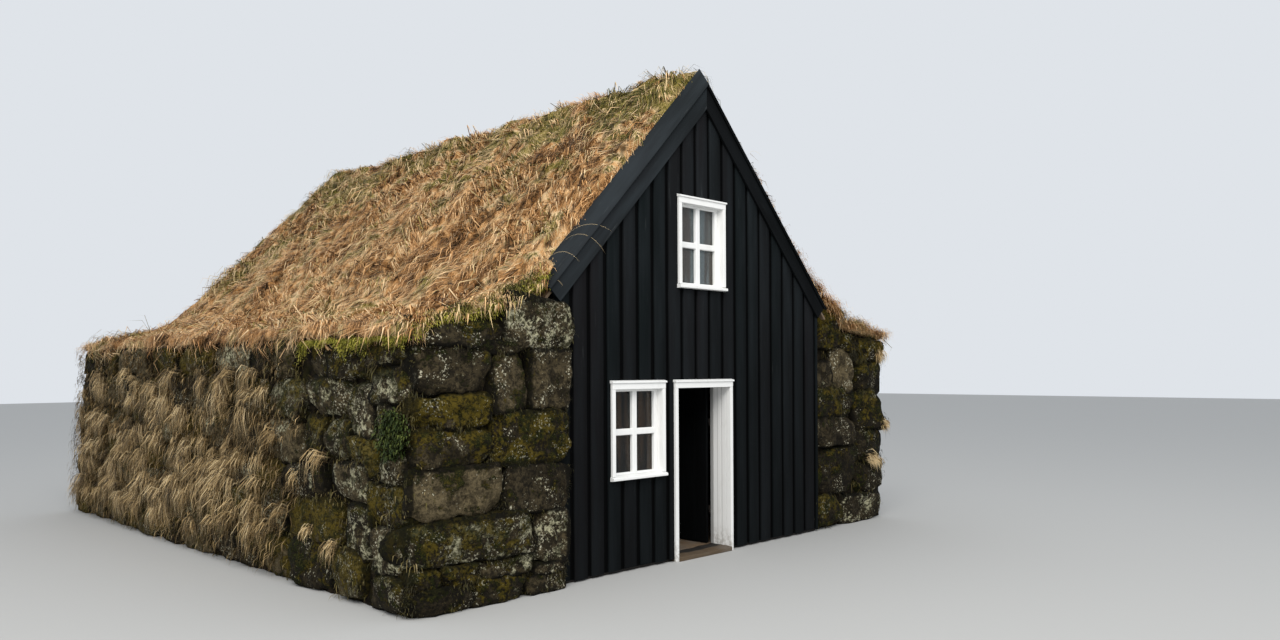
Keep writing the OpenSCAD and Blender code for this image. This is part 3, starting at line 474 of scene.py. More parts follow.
# Window panes: clear with a sheen that grows with the slant, under a film that is broken by dust: grey as a
# painted sky reflection on the upper window, dark as painted shade on the lower one, and brown in upright
# streaks on both
def paneFinish(name):
    f = Finish(name)
    sheen = f.node("Fresnel", {}, {"IOR": 1.52})
    dust = f.mask(f.noise(9, 5, 0.6), 0.45, 0.85)
    clear = f.node("BsdfTransparent", {}, {"Color": (0.80, 0.84, 0.84, 1)})
    gloss = f.node("BsdfGlossy", {}, {"Color": (0.9, 0.93, 0.96, 1), "Roughness": 0.03})
    high = f.mask(f.split(f.objectCoords, "Z"), 1.9, 2.5)
    streak = f.mask(f.noise((9, 9, 0.5), 3), 0.50, 0.60)
    # painted shade on the lower window and a painted sky reflection on the upper one
    dark, grey, brown = (f.node("BsdfDiffuse", {}, {"Color": colour + (1,)}) for colour in (
        (0.014, 0.014, 0.012), (0.250, 0.295, 0.305), (0.110, 0.068, 0.040)))
    film = f.node("MixShader", {}, {0: high, 1: dark, 2: grey})
    film = f.node("MixShader", {}, {0: streak * 0.75, 1: film, 2: brown})
    glass = f.node("MixShader", {}, {0: sheen, 1: clear, 2: gloss})
    f.finishWith(f.node("MixShader", {}, {0: dust * 0.14 + 0.24 + high * 0.06, 1: glass, 2: film}))
    return f.material


tarBoards = tarred("tarBoards", 1.9)
# Lit and shaded copies of the tar: the left verge board, tilted to the sky, gets painted light, and the
# right one, seen from below, painted shade
tarVergeLit = tarred("tarVergeLit", 3.4, (0, slope + math.pi / 2, 0), False)
tarVergeShaded = tarred("tarVergeShaded", 0.9, (0, -slope - math.pi / 2, 0), False)
tarDoor = tarred("tarDoor", 1.1)
whiteTrim = whitePaint("whiteTrim")
whiteLining = whitePaint("whiteLining", (-4.105, -4.045, -3.985))
stoneFinish = lavaStone("lavaStone")
earth = packedEarth("packedEarth")
blade = grassFinish("grassBlade", grassStops)
hair = grassFinish("dryHair", hairStops)
mossBlade = grassFinish("mossBlade", mossStops)
cushionMoss = grassFinish("cushionMoss", cushionStops, 0.1)
leaf = grassFinish("leaf", leafStops, 0.0)
thatch = thatchFinish("thatch")
iron = hingeIron("hingeIron")
pane = paneFinish("pane")
frameWoodX, frameWoodY, frameWoodZ = (bareWood("frameWood" + axis.upper(), (0.20, 0.125, 0.066),
                                               (0.105, 0.062, 0.032), axis) for axis in "xyz")
floorWood = bareWood("floorWood", (0.24, 0.16, 0.09), (0.14, 0.09, 0.05), "y", 0.5)
revealWood = bareWood("revealWood", (0.215, 0.130, 0.070), (0.120, 0.068, 0.036), "z")
wornWood = bareWood("wornWood", (0.150, 0.098, 0.050), (0.070, 0.046, 0.024), "x", 0.3, -4.10)
sillWood = bareWood("sillWood", (0.018, 0.013, 0.009), (0.009, 0.007, 0.005), "x")
print("finishes made")

# The finish of the CAD nodes whose names hold a word, and earth for the rest
nodeFinishes = {"sheathing": floorWood, "floor": floorWood, "gable_frame": sillWood, "post": frameWoodZ,
                "joist": frameWoodX, "collar": frameWoodX, "rafter": frameWoodX, "plate": frameWoodY,
                "beam": frameWoodY, "glass": pane, "strap": iron, "pintle": iron}
for name, node in nodes.items():
    node.data.materials.clear()
    node.data.materials.append(next((nodeFinishes[word] for word in nodeFinishes if word in name), earth))

# Gable boards
boards = dict(pitch=0.207, groove=0.050, grooves=19, firstGroove=-1.801, front=0.024, back=0.022,
              foot=0.030, topDepth=0.228, rounding=0.006, cup=0.0050, sway=0.0014, stations=14,
              narrowest=0.012, seed=5)
doorHole = (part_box("door_jamb_left")[0].x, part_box("door_jamb_right")[1].x, -1.0,
            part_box("door_head_board")[1].z)


# The hole in the boards round a window: its casing's outline, drawn in by the lap of the casing
def holeRound(node):
    low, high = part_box(node)
    side, capSpread, foot, head = 0.020, 0.007, 0.020, 0.062
    return (low.x + capSpread + side, high.x - capSpread - side, low.z + foot, high.z - head)


holes = [doorHole, holeRound("lower_window_casing"), holeRound("upper_window_casing")]


# One upright board: its outline is flat behind and cupped in front, with rounded edges, and is carried
# up from the foot to the roof line while it sways a little
def uprightBoard(x0, x1, whole, z0, z1, front, back, rng, spec):
    middle, half = (whole[0] + whole[1]) / 2, (whole[1] - whole[0]) / 2
    turn = np.linspace(0, math.pi / 2, 4)
    r = spec["rounding"]
    left = np.stack([x0 + r - r * np.cos(turn), front + r - r * np.sin(turn)], -1)
    right = np.stack([x1 - r + r * np.sin(turn), front + r - r * np.cos(turn)], -1)
    inner = np.linspace(x0 + r, x1 - r, 5)[1:-1]
    outline = np.concatenate([left, np.stack([inner, np.full(3, front)], -1), right,
                              [[x1, back], [x0, back]]])
    cup = spec["cup"] * ((outline[:, 0] - middle) / half) ** 2
    outline[:-2, 1] += cup[:-2]
    t = np.linspace(0, 1, spec["stations"])[:, None]
    top = np.minimum(z1, roofLine(outline[:, 0], spec["topDepth"]))
    rings = np.zeros((len(t), len(outline), 3))
    rings[:, :, 2] = z0 + t * (top - z0)
    phase = rng.uniform(0, 6.28, 4)
    heights = rings[:, :, 2]
    bend = np.sin(heights * 2.1 + phase[0]) + 0.5 * np.sin(heights * 5.3 + phase[1])
    rings[:, :, 0] = outline[:, 0] + spec["sway"] * bend
    rings[:, :, 1] = outline[:, 1] + spec["sway"] * 0.8 * np.sin(heights * 1.7 + phase[2]) - 0.0012
    rings[:, -2:, 1] = back
    return tubes(rings)


# The free stretches of a board beside, below and above the holes: bands of height, each with its x range
def stretches(x0, x1, foot):
    cuts = sorted({foot, 9.0, *[z for h in holes for z in h[2:] if z > foot]})
    found = []
    for z0, z1 in zip(cuts, cuts[1:]):
        spans = [(x0, x1)]
        for left, right, low, high in holes:
            if low < (z0 + z1) / 2 < high:
                spans = [part for a, b in spans for part in ((a, min(b, left)), (max(a, right), b))]
                spans = [(a, b) for a, b in spans if b - a > 0.004]
        found += [(a, b, z0, z1) for a, b in spans]
    merged = []
    for a, b, z0, z1 in found:
        if merged and merged[-1][:2] == (a, b) and merged[-1][3] == z0:
            merged[-1] = (a, b, merged[-1][2], z1)
        else:
            merged.append((a, b, z0, z1))
    inner = [min(abs(a), abs(b)) if a * b > 0 else 0 for a, b, _, _ in merged]
    return [stretch for stretch, x in zip(merged, inner) if stretch[2] < roofLine(x, 0.25)]


# All boards of the gable: rounded ones in front, between the grooves, and flat ones behind the grooves. The
# tone mark is drawn for each board, and the deep mark paints shade that grows to its right edge and is full
# in a groove
def gableBoards(spec):
    rng = np.random.default_rng(spec["seed"])
    edge = house["halfWidth"]
    grooves = spec["firstGroove"] + spec["pitch"] * np.arange(spec["grooves"])
    starts = np.concatenate([[-edge], grooves + spec["groove"] / 2])
    ends = np.concatenate([grooves - spec["groove"] / 2, [edge]])
    lots, tones, deep = [], [], []
    for x0, x1 in zip(starts, ends):
        if x1 - x0 < spec["narrowest"]:
            continue
        wander = rng.uniform(-0.004, 0.004, 2)
        a, b = x0 + max(wander[0], -0.003), x1 + wander[1]
        foot = spec["foot"] + rng.uniform(-0.012, 0.012)
        step, tone = rng.uniform(-0.0015, 0.0015), rng.uniform(0, 1)
        phases = np.random.default_rng(int(1e4 + 1e3 * x0))
        state = phases.bit_generator.state
        for left, right, z0, z1 in stretches(a, b, foot):
            phases.bit_generator.state = state
            lot = uprightBoard(left, right, (a, b), z0, z1, boardFace + step + 0.001,
                               boardFace + spec["front"], phases, spec)
            lots.append(lot)
            tones.append(np.full(len(lot[0]), tone))
            # painted shade, darker towards the board's right edge, away from the light
            across = np.clip((lot[0][:, 0] - a) / (b - a), 0, 1)
            deep.append(0.50 * across ** 3)
    half, front = spec["pitch"] / 2 - 0.002, boardFace + spec["front"]
    for x in grooves:
        tone = rng.uniform(0, 1)
        for left, right, z0, z1 in stretches(max(x - half, -edge), min(x + half, edge), spec["foot"]):
            lot = uprightBoard(left, right, (x - half, x + half), z0, z1, front, front + spec["back"],
                               np.random.default_rng(1), {**spec, "cup": 0, "sway": 0, "rounding": 0.001})
            lots.append(lot)
            tones.append(np.full(len(lot[0]), tone))
            # painted shade: the boards behind the grooves are made nearly black
            deep.append(np.ones(len(lot[0])))
    return joined(lots), np.concatenate(tones), np.concatenate(deep)


shape, tones, deep = gableBoards(boards)
makePiece("gableBoards", shape, tarBoards,
          ("gable_boards_left", "gable_boards_right", "gable_boards_upper"),
          marks={"tone": tones, "deep": deep})
print("gable boards:", len(shape[0]), "points")


# Verge and fascia boards
verge = dict(width=0.182, thick=0.025, tilt=44.6, drop=0.035, back=-4.126, over=0.225, stations=12,
             fasciaThick=0.028, fasciaLow=0.334, fasciaOver=0.213, seam=0.0006, rounding=0.004)


# A board of the verge: its outline, drawn in y and in depth under the roof plane, runs down the slope
# from the upright plane over the middle, where it is mitred, to a square end
def slopeBoard(outline, side, length, bend):
    y, depth = outline[:, 0], outline[:, 1]
    begin = depth * tanSlope
    t = np.linspace(0, 1, verge["stations"])[:, None]
    s = begin + t * (length - begin)
    sag = bend * np.sin(s * 1.9 + side)
    rings = np.zeros((len(t), len(outline), 3))
    rings[:, :, 0] = side * (s * cosSlope - (depth + sag) * sinSlope)
    rings[:, :, 1] = y
    rings[:, :, 2] = ridge - s * sinSlope - (depth + sag) * cosSlope
    rings[0, :, 0] = 0
    return tubes(rings)


# The tilted board's outline, and the upright one's, whose top fits against the tilted board's underside
def vergeOutline(spec):
    tilt = math.radians(spec["tilt"])
    wide = spec["width"] * np.array([-math.cos(tilt), math.sin(tilt)])
    thick = spec["thick"] * np.array([math.sin(tilt), math.cos(tilt)])
    corner = np.array([spec["back"], spec["drop"]])
    return np.array([corner, corner + thick, corner + thick + wide, corner + wide])


def fasciaOutline(spec):
    under, tilt = vergeOutline(spec)[1], math.radians(spec["tilt"])
    y0, y1, foot = boardFace - spec["fasciaThick"], boardFace - 0.0005, spec["fasciaLow"]
    tops = [under[1] + (under[0] - y) * math.tan(tilt) + spec["seam"] for y in (y0, y1)]
    return np.array([[y0, tops[0]], [y1, tops[1]], [y1, foot], [y0, foot]])


for side, word, finish in ((-1, "left", tarVergeLit), (1, "right", tarVergeShaded)):
    for part, node, outline, rounding, over, bend in (
            ("VergeBoard", "_verge_board", vergeOutline(verge), verge["rounding"], verge["over"], 0.0015),
            ("FasciaBoard", "_fascia", fasciaOutline(verge), 0.003, verge["fasciaOver"], 0.001)):
        length = (house["halfWidth"] + over) / cosSlope
        makePiece(word + part, slopeBoard(softened(outline, rounding), side, length, bend), finish,
                  (word + node,))
print("verge boards made")

# Windows
window = dict(width=0.710, height=0.927, casing=0.042, headHigh=0.084, casingThick=0.028, cap=0.027,
              capOut=0.014, sill=0.042, sillOut=0.020, lining=0.022, sashBack=0.046, sashThick=0.036,
              stile=0.048, rail=0.022, bar=0.060, round=0.003, sashRound=0.006, barRound=0.008,
              revealGap=0.005, revealDeep=0.166)


# Boards between pairs of corners, with one rounding
def timbers(corners, radius):
    return [timber(low, high, radius) for low, high in corners]


# A sloping cap over a head board. It stands out past the board's ends by half as much as in front of it
def capOver(x0, x1, foot, top, front):
    nose, reach = front - window["capOut"], window["capOut"] / 2
    return moulding([[boardFace, foot], [nose, foot], [nose, foot + 0.6 * window["cap"]], [boardFace, top]],
                    x0 - reach, x1 + reach, 0.003)


# Half the width inside a window's casing, and the heights of the casing's sill and head on the inside
def insideCasing(z, spec):
    return (spec["width"] / 2 - spec["casing"], z + spec["sill"],
            z + spec["height"] - spec["headHigh"])


# Four lining boards round a window's hole, between two depths
def holeLining(x, z, spec, y0, y1):
    (inner, foot, head), t = insideCasing(z, spec), spec["lining"]
    return timbers([((x - inner - t, y0, foot), (x - inner, y1, head)),
                    ((x + inner, y0, foot), (x + inner + t, y1, head)),
                    ((x - inner - t, y0, head), (x + inner + t, y1, head + t)),
                    ((x - inner - t, y0, foot - t), (x + inner + t, y1, foot))], 0.001)


# A window's casing: two uprights between a head under a sloping cap and a sloping sill, and the lining
# boards of its hole
def windowCasing(x, z, spec):
    half, (inner, foot, head) = spec["width"] / 2, insideCasing(z, spec)
    front, top, reach = boardFace - spec["casingThick"], z + spec["height"], spec["capOut"] / 2
    nose = front - spec["sillOut"]
    lots = timbers([((x - half, front, foot - 0.001), (x - inner, boardFace, head)),
                    ((x + inner, front, foot - 0.001), (x + half, boardFace, head)),
                    ((x - half, front - 0.002, head), (x + half, boardFace, top - spec["cap"]))],
                   spec["round"])
    lots.append(capOver(x - half, x + half, top - spec["cap"], top, front))
    lots.append(moulding([[boardFace, z], [nose, z + 0.004], [nose, foot - spec["cap"] / 2],
                          [boardFace, foot]], x - half - reach, x + half + reach, 0.004))
    lots += holeLining(x, z, spec, boardFace, boardFace + spec["sashBack"] + spec["sashThick"])
    return joined(lots)


# A sash: stiles and rails round four panes, with an upright bar and a cross bar whose edges are bevelled
def windowSash(x, z, spec):
    (inner, foot, head), r = insideCasing(z, spec), spec["sashRound"]
    y0, stile, rail, bar = boardFace + spec["sashBack"], spec["stile"], spec["rail"], spec["bar"] / 2
    y1, middle = y0 + spec["sashThick"], (head + foot) / 2
    left, right = x - inner + stile - r, x + inner - stile + r
    frameBoards = timbers([((x - inner, y0, foot), (x - inner + stile, y1, head)),
                           ((x + inner - stile, y0, foot), (x + inner, y1, head)),
                           ((left, y0 + 0.001, foot), (right, y1, foot + rail)),
                           ((left, y0 + 0.001, head - rail), (right, y1, head))], r)
    bars = timbers([((x - bar, y0 - 0.004, foot + rail - r), (x + bar, y1, head - rail + r)),
                    ((left, y0 - 0.003, middle - bar), (x - bar + r, y1, middle + bar)),
                    ((x + bar - r, y0 - 0.003, middle - bar), (right, y1, middle + bar))], spec["barRound"])
    return joined(frameBoards + bars)


# The reveal is bare wood, from the glass to the back of the frame
for word in ("lower", "upper"):
    low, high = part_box(word + "_window_casing")
    x, z = (low.x + high.x) / 2, low.z
    for part, shape in (("casing", windowCasing(x, z, window)), ("sash", windowSash(x, z, window))):
        makePiece(word + "Window" + part.title(), shape, whiteTrim,
                  (word + "_window_" + part,))
    glassBack = boardFace + window["sashBack"] + window["sashThick"] + window["revealGap"]
    reveal = holeLining(x, z, window, glassBack, boardFace + window["revealDeep"])
    makePiece(word + "WindowReveal", joined(reveal), revealWood)
print("windows made")

# Doorway
doorway = dict(x0=-0.444, x1=0.352, head=1.70, lining=0.030, deep=0.250, casing=0.042, headHigh=0.084,
               casingThick=0.028, threshold=0.045, thresholdOut=0.042, thresholdIn=0.248, dip=0.010,
               dipReach=0.19, seams=(0.037, 0.108, 0.211), joint=0.003)


# The doorway's white boards with the nodes that they replace: the lining is four boards deep, with open
# joints between them
def doorFrame(spec):
    front, low = boardFace - spec["casingThick"], spec["threshold"]
    x0, x1, head, t = spec["x0"], spec["x1"], spec["head"], spec["lining"]
    starts = boardFace + np.array([0.0, *spec["seams"]])
    ends = boardFace + np.array([*spec["seams"], spec["deep"] + spec["joint"]]) - spec["joint"]
    lining = {("doorLiningLeft", "door_jamb_left"): (x0 - t, low, x0, head),
              ("doorLiningRight", "door_jamb_right"): (x1, low, x1 + t, head),
              ("doorLiningHead", "door_head_board"): (x0 - t, head, x1 + t, head + t)}
    pieces = {names: [((left, a, foot), (right, b, top)) for a, b in zip(starts, ends)]
              for names, (left, foot, right, top) in lining.items()}
    for word, left in (("left", x0 - spec["casing"]), ("right", x1)):
        pieces["doorCasing" + word.title(), "door_casing_" + word] = [
            ((left, front, 0.0), (left + spec["casing"], boardFace, head))]
    return {names: joined(timbers(corners, 0.003)) for names, corners in pieces.items()}


for (name, node), shape in doorFrame(doorway).items():
    makePiece(name, shape, whiteLining if "Lining" in name else whiteTrim, (node,))


# The board over the doorway, under a cap like the windows' own
def doorHeadCasing(spec):
    front, top = boardFace - spec["casingThick"], spec["head"] + spec["headHigh"]
    x0, x1, foot = spec["x0"] - spec["casing"], spec["x1"] + spec["casing"], top - window["cap"]
    return joined([timber((x0, front - 0.002, spec["head"]), (x1, boardFace, foot), 0.003),
                   capOver(x0, x1, foot, top, front)])


makePiece("doorHeadCasing", doorHeadCasing(doorway), whiteTrim, ("door_head_casing",))


# The threshold: a plank whose top is worn down in the middle, as a hollow along x, between two end blocks
# under the jambs
def wornThreshold(spec):
    x = np.linspace(spec["x0"] + 0.002, spec["x1"] - 0.002, 40)
    front, rear, top = boardFace - spec["thresholdOut"], boardFace + spec["thresholdIn"], spec["threshold"]
    outline = softened([[front, 0.0], [rear, 0.0], [rear, top], [front, top - 0.003]], 0.006)
    rings = np.zeros((len(x), len(outline), 3))
    rings[:, :, 0] = x[:, None]
    rings[:, :, 1:] = outline
    dip = spec["dip"] * np.exp(-((x - x.mean()) / spec["dipReach"]) ** 2) + 0.002 * np.sin(x * 31)
    rings[:, :, 2] -= np.where(rings[:, :, 2] > 0.03, dip[:, None], 0)
    blocks = timbers([((a, boardFace, 0.0), (a + spec["lining"], boardFace + spec["deep"], top))
                      for a in (spec["x0"] - spec["lining"], spec["x1"])], 0.002)
    return joined([tubes(rings), *blocks])


makePiece("threshold", wornThreshold(doorway), wornWood, ("threshold",))

# Door
door = dict(hinge=(0.352, -3.933), gap=0.006, thick=0.030, ledge=0.024, ledgeHigh=0.12, planks=5,
            seam=0.0015, foot=0.051, top=1.694, ledges=(0.278, 1.198), round=0.003)


# Turns a piece that is drawn shut a quarter turn about the hinge, to where it stands open
def opened(shape, spec):
    points, faces = shape
    dx, dy = points[:, 0] - spec["hinge"][0], points[:, 1] - spec["hinge"][1]
    return np.stack([spec["hinge"][0] + dy, spec["hinge"][1] - dx, points[:, 2]], -1), faces


# The leaf: planks side by side with two ledges across their inner side
def doorLeaf(spec):
    x0, x1 = doorway["x0"] + spec["gap"], doorway["x1"] - spec["gap"]
    y1, inset = boardFace + doorway["deep"], doorway["casing"]
    edges = np.linspace(x0, x1, spec["planks"] + 1)
    lots = timbers([((a, y1 - spec["thick"], spec["foot"]), (b - spec["seam"], y1, spec["top"]))
                    for a, b in zip(edges, edges[1:])], spec["round"])
    lots += timbers([((x0 + inset, y1, z), (x1 - inset, y1 + spec["ledge"], z + spec["ledgeHigh"]))
                     for z in spec["ledges"]], 0.004)
    tones = np.concatenate([np.full(len(lot[0]), 0.2 + 0.15 * k) for k, lot in enumerate(lots)])
    return opened(joined(lots), spec), tones


# The door leaf's deep mark of one half darkens all of it as painted shade
shape, tones = doorLeaf(door)
makePiece("doorLeaf", shape, tarDoor, ("door_leaf",), body="door",
          marks={"tone": tones, "deep": 0.5 + 0 * tones})
print("doorway and door made")

# Stonework
stones = dict(rowLow=0.27, rowHigh=0.40, longLow=0.38, longHigh=0.95, shortest=0.12, lastShort=0.22,
              gap=0.004, overlap=0.035, depth=0.20, coarse=0.012, middling=0.0085, small=0.004, rim=0.10,
              core=0.09, coreStep=0.11, coreRings=56)
roundStone = dict(rough=1.0, cuts=7, askew=0.11, power=15.0, swell=0.011, proud=True)
flatStone = dict(rough=0.25, cuts=0, askew=0.015, power=26.0, swell=0.0, proud=False)


# A stone: in each direction its surface lies where a soft sum over cutting planes reaches one, so that
# flat faces meet in rounded edges; ripples of three sizes then roughen it
def boulder(centre, half, outward, seed, rows, around, kind):
    rng = np.random.default_rng(seed)
    outward, cuts, power = np.array(outward, float), kind["cuts"], kind["power"]
    planes = unit(np.concatenate([np.eye(3), -np.eye(3)]) + rng.normal(0, kind["askew"], (6, 3)))
    planes = np.concatenate([planes, unit(rng.normal(size=(cuts, 3)) + 0.6 * outward)])
    reach = np.concatenate([rng.uniform(0.96, 1.01, 6), rng.uniform(1.06, 1.36, cuts)])
    first = np.array([outward[1], -outward[0], 0.0])
    second = np.cross(outward, first)
    theta = (math.pi * (np.arange(1, rows) / rows) ** 1.12)[:, None, None]
    phi = (2 * math.pi * np.arange(around) / around)[None, :, None]
    ways = np.cos(theta) * outward + np.sin(theta) * (np.cos(phi) * first + np.sin(phi) * second)
    ways = np.concatenate([ways.reshape(-1, 3), [outward, -outward]])
    facing = np.maximum(ways @ planes.T, 0) / reach
    shape = ways * ((facing ** power).sum(1) ** (-1 / power))[:, None] * half
    normals = unit(ways / half)
    away = shape + rng.uniform(-9, 9, 3)
    lump = (stones["coarse"] * ripple(away, 0.24, seed) + stones["middling"] * ripple(away, 0.095, seed + 1)
            + stones["small"] * ripple(away, 0.038, seed + 2))
    points = centre + shape + normals * (kind["rough"] * lump)[:, None]
    grid, tips = points[:-2].reshape(rows - 1, around, 3), points[-2:]
    return tubes(grid, tips), shape, normals


# Where a wall's face stands at a height: the street ends of both side walls, the left side and the rear
def frontLeft(z):
    return house["noseLeft"] + house["noseBatter"] * z / house["shoulder"]


def frontRight(z):
    return house["noseRight"] + house["noseBatter"] * z / house["shoulder"]


def leftFace(z):
    return house["leftFoot"] + house["sideBatter"] * z / house["leftTop"]


def rearFace(z):
    return house["rear"] - house["rearBatter"] * z / house["ledge"]


# Stones of one face as a piece. Each row gives where it begins and ends along the face and in height,
# how pale, how mossy and how much overgrown with lichen it is, and how far it reaches into the wall. The
# function returns the points, their normals, how far they are from a joint and the moss marks
def layStones(name, rows, place, outward, detail, seed, kind=roundStone):
    rng = np.random.default_rng(seed)
    lots, directions, marks = [], [], {"tone": [], "moss": [], "lichen": [], "up": [], "rim": []}
    along, swell = 0 if outward[1] else 1, kind["swell"]
    for k, (a0, a1, z0, z1, tone, moss, lichen, depth) in enumerate(rows):
        middle = (z0 + z1) / 2
        centre, half = np.zeros(3), np.zeros(3)
        centre[along], centre[2] = (a0 + a1) / 2, middle
        half[along], half[2], half[1 - along] = (a1 - a0) / 2 + swell, (z1 - z0) / 2 + swell, depth
        proud = rng.uniform(0.0, 0.02 if depth < 0.1 else 0.03) if kind["proud"] else 0.0
        centre[1 - along] = place(middle) + outward[1 - along] * (proud - depth)
        lot, shape, normals = boulder(centre, half, outward, seed + 17 * k, *detail, kind)
        points = lot[0]
        points[:, 2] = np.maximum(points[:, 2], 0.0)
        lots.append(lot)
        directions.append(normals)
        inside = np.minimum(half[along] - np.abs(shape[:, along]), half[2] - np.abs(shape[:, 2]))
        marks["rim"].append(np.clip(inside / stones["rim"], 0, 1))
        marks["up"].append(np.maximum(normals[:, 2], 0))
        for mark, value in (("tone", tone), ("moss", moss), ("lichen", lichen)):
            marks[mark].append(np.full(len(points), value))
    marks = {mark: np.concatenate(values) for mark, values in marks.items()}
    whole = joined(lots)
    makePiece(name, whole, stoneFinish, smooth=True, marks=marks)
    return whole[0], np.concatenate(directions), marks["rim"], marks["moss"]


# Courses of random stones between two ends. Tone, moss and lichen are drawn at random
def courses(a0, a1, height, seed, moss, even=False):
    rng = np.random.default_rng(seed)
    levels, rows, lift = [0.0], [], 0 if even else stones["overlap"]
    while levels[-1] < height - 0.20:
        levels.append(levels[-1] + rng.uniform(stones["rowLow"], stones["rowHigh"]))
    levels = np.array(levels) * height / levels[-1]
    for z0, z1 in zip(levels, levels[1:]):
        a = a0 - rng.uniform(0, 0.3) * (not even)
        while a < a1 - stones["shortest"]:
            b = min(a + rng.uniform(stones["longLow"], stones["longHigh"]), a1)
            b = a1 if a1 - b < stones["lastShort"] else b
            start = max(a, a0)
            if b - start > stones["shortest"]:
                rows.append((start + stones["gap"], b - stones["gap"], z0 - rng.uniform(0, lift),
                             z1 + rng.uniform(0, lift), rng.uniform(0.1, 0.9),
                             np.clip(rng.normal(moss, 0.25), 0, 1), np.clip(rng.normal(0.3, 0.25), 0, 1),
                             stones["depth"] * rng.uniform(0.9, 1.2)))
            a = b
    return rows


# The street ends of the side walls and the left side's street corner, stone by stone from the ground up
leftNose = [
    (-3.47, -2.95, 0.00, 0.19, 0.15, 0.45, 0.25, 0.15), (-2.95, -2.41, 0.00, 0.22, 0.20, 0.60, 0.20, 0.16),
    (-2.41, -1.95, 0.00, 0.17, 0.30, 0.45, 0.40, 0.062), (-3.46, -3.19, 0.19, 0.37, 0.20, 0.70, 0.35, 0.14),
    (-3.21, -2.88, 0.20, 0.36, 0.25, 0.75, 0.20, 0.15), (-2.88, -2.30, 0.21, 0.36, 0.35, 0.55, 0.55, 0.16),
    (-2.32, -1.95, 0.16, 0.26, 0.35, 0.35, 0.55, 0.062), (-3.47, -2.28, 0.36, 0.71, 0.35, 0.62, 0.62, 0.15),
    (-2.30, -1.945, 0.25, 0.69, 0.40, 0.25, 0.60, 0.062), (-3.46, -2.61, 0.70, 1.11, 0.74, 0.40, 0.12, 0.16),
    (-2.61, -1.93, 0.69, 1.10, 0.20, 0.35, 0.25, 0.062), (-3.44, -2.70, 1.10, 1.43, 0.35, 0.72, 0.30, 0.15),
    (-2.74, -1.87, 1.11, 1.54, 0.15, 0.74, 0.12, 0.062), (-3.42, -2.74, 1.42, 1.70, 0.25, 0.95, 0.20, 0.15),
    (-3.41, -2.72, 1.69, 2.08, 0.35, 0.30, 0.28, 0.16), (-2.71, -2.34, 1.54, 2.03, 0.55, 0.42, 0.20, 0.16),
    (-2.34, -1.87, 1.54, 2.05, 0.40, 0.42, 0.30, 0.062), (-2.88, -2.46, 2.02, 2.11, 0.30, 0.30, 0.20, 0.14),
    (-3.38, -2.56, 2.08, 2.29, 0.25, 0.50, 0.20, 0.15), (-2.58, -1.84, 2.05, 2.47, 0.45, 0.34, 0.62, 0.062)]
rightNose = [
    (1.98, 2.58, 0.00, 0.40, 0.15, 0.65, 0.10, 0.20), (2.56, 3.46, 0.00, 0.34, 0.25, 0.15, 0.50, 0.22),
    (2.86, 3.49, 0.32, 0.72, 0.10, 0.40, 0.20, 0.20), (1.98, 2.90, 0.38, 0.95, 0.00, 0.50, 0.00, 0.22),
    (2.82, 3.50, 0.72, 1.13, 0.10, 0.45, 0.15, 0.20), (1.98, 2.86, 0.95, 1.33, 0.25, 0.25, 0.20, 0.22),
    (1.98, 2.88, 1.31, 1.66, 0.00, 0.65, 0.00, 0.20), (2.84, 3.46, 1.12, 1.62, 0.05, 0.65, 0.00, 0.24),
    (1.98, 2.36, 1.64, 1.98, 0.30, 0.20, 0.25, 0.18), (2.34, 2.86, 1.60, 2.14, 0.60, 0.10, 0.20, 0.20),
    (2.88, 3.50, 1.60, 2.00, 0.05, 0.60, 0.10, 0.22), (1.98, 2.60, 2.10, 2.48, 0.00, 0.70, 0.10, 0.20),
    (2.58, 2.93, 2.08, 2.32, 0.05, 0.70, 0.10, 0.18), (2.90, 3.49, 1.98, 2.24, 0.10, 0.75, 0.10, 0.20),
    (2.00, 2.60, 2.38, 2.70, 0.00, 0.95, 0.00, 0.14)]
leftCorner = [
    (-4.20, -3.66, 0.00, 0.30, 0.30, 0.50, 0.45, 0.20), (-4.17, -3.72, 0.29, 0.66, 0.45, 0.35, 0.60, 0.20),
    (-3.74, -3.30, 0.33, 0.80, 0.35, 0.45, 0.60, 0.20), (-4.20, -3.60, 0.65, 0.99, 0.30, 0.75, 0.40, 0.20),
    (-4.17, -3.78, 0.98, 1.30, 0.45, 0.35, 0.56, 0.20), (-4.16, -3.70, 1.29, 1.62, 0.50, 0.45, 0.60, 0.18),
    (-4.18, -3.62, 1.61, 1.92, 0.40, 0.50, 0.55, 0.18), (-4.14, -3.50, 1.91, 2.15, 0.30, 0.65, 0.40, 0.18),
    (-3.79, -3.30, 0.98, 1.36, 0.30, 0.75, 0.60, 0.20), (-3.66, -3.22, 1.35, 1.80, 0.45, 0.40, 0.60, 0.20),
    (-3.30, -2.86, 1.12, 1.50, 0.35, 0.55, 0.54, 0.20), (-3.22, -2.60, 1.49, 1.83, 0.45, 0.45, 0.54, 0.20),
    (-3.52, -2.98, 1.79, 2.14, 0.30, 0.60, 0.45, 0.18), (-2.99, -2.56, 1.82, 2.13, 0.40, 0.60, 0.50, 0.18),
    (-3.62, -3.12, 0.79, 1.12, 0.50, 0.30, 0.60, 0.20), (-2.88, -2.50, 1.18, 1.50, 0.30, 0.70, 0.50, 0.18)]
outFront, outLeft, outRear, outParty = (0, -1, 0), (-1, 0, 0), (0, 1, 0), (1, 0, 0)
leftNosePlaces = layStones("leftNoseStones", leftNose, frontLeft, outFront, (30, 40), 100)
rightNosePlaces = layStones("rightNoseStones", rightNose, frontRight, outFront, (26, 34), 300)
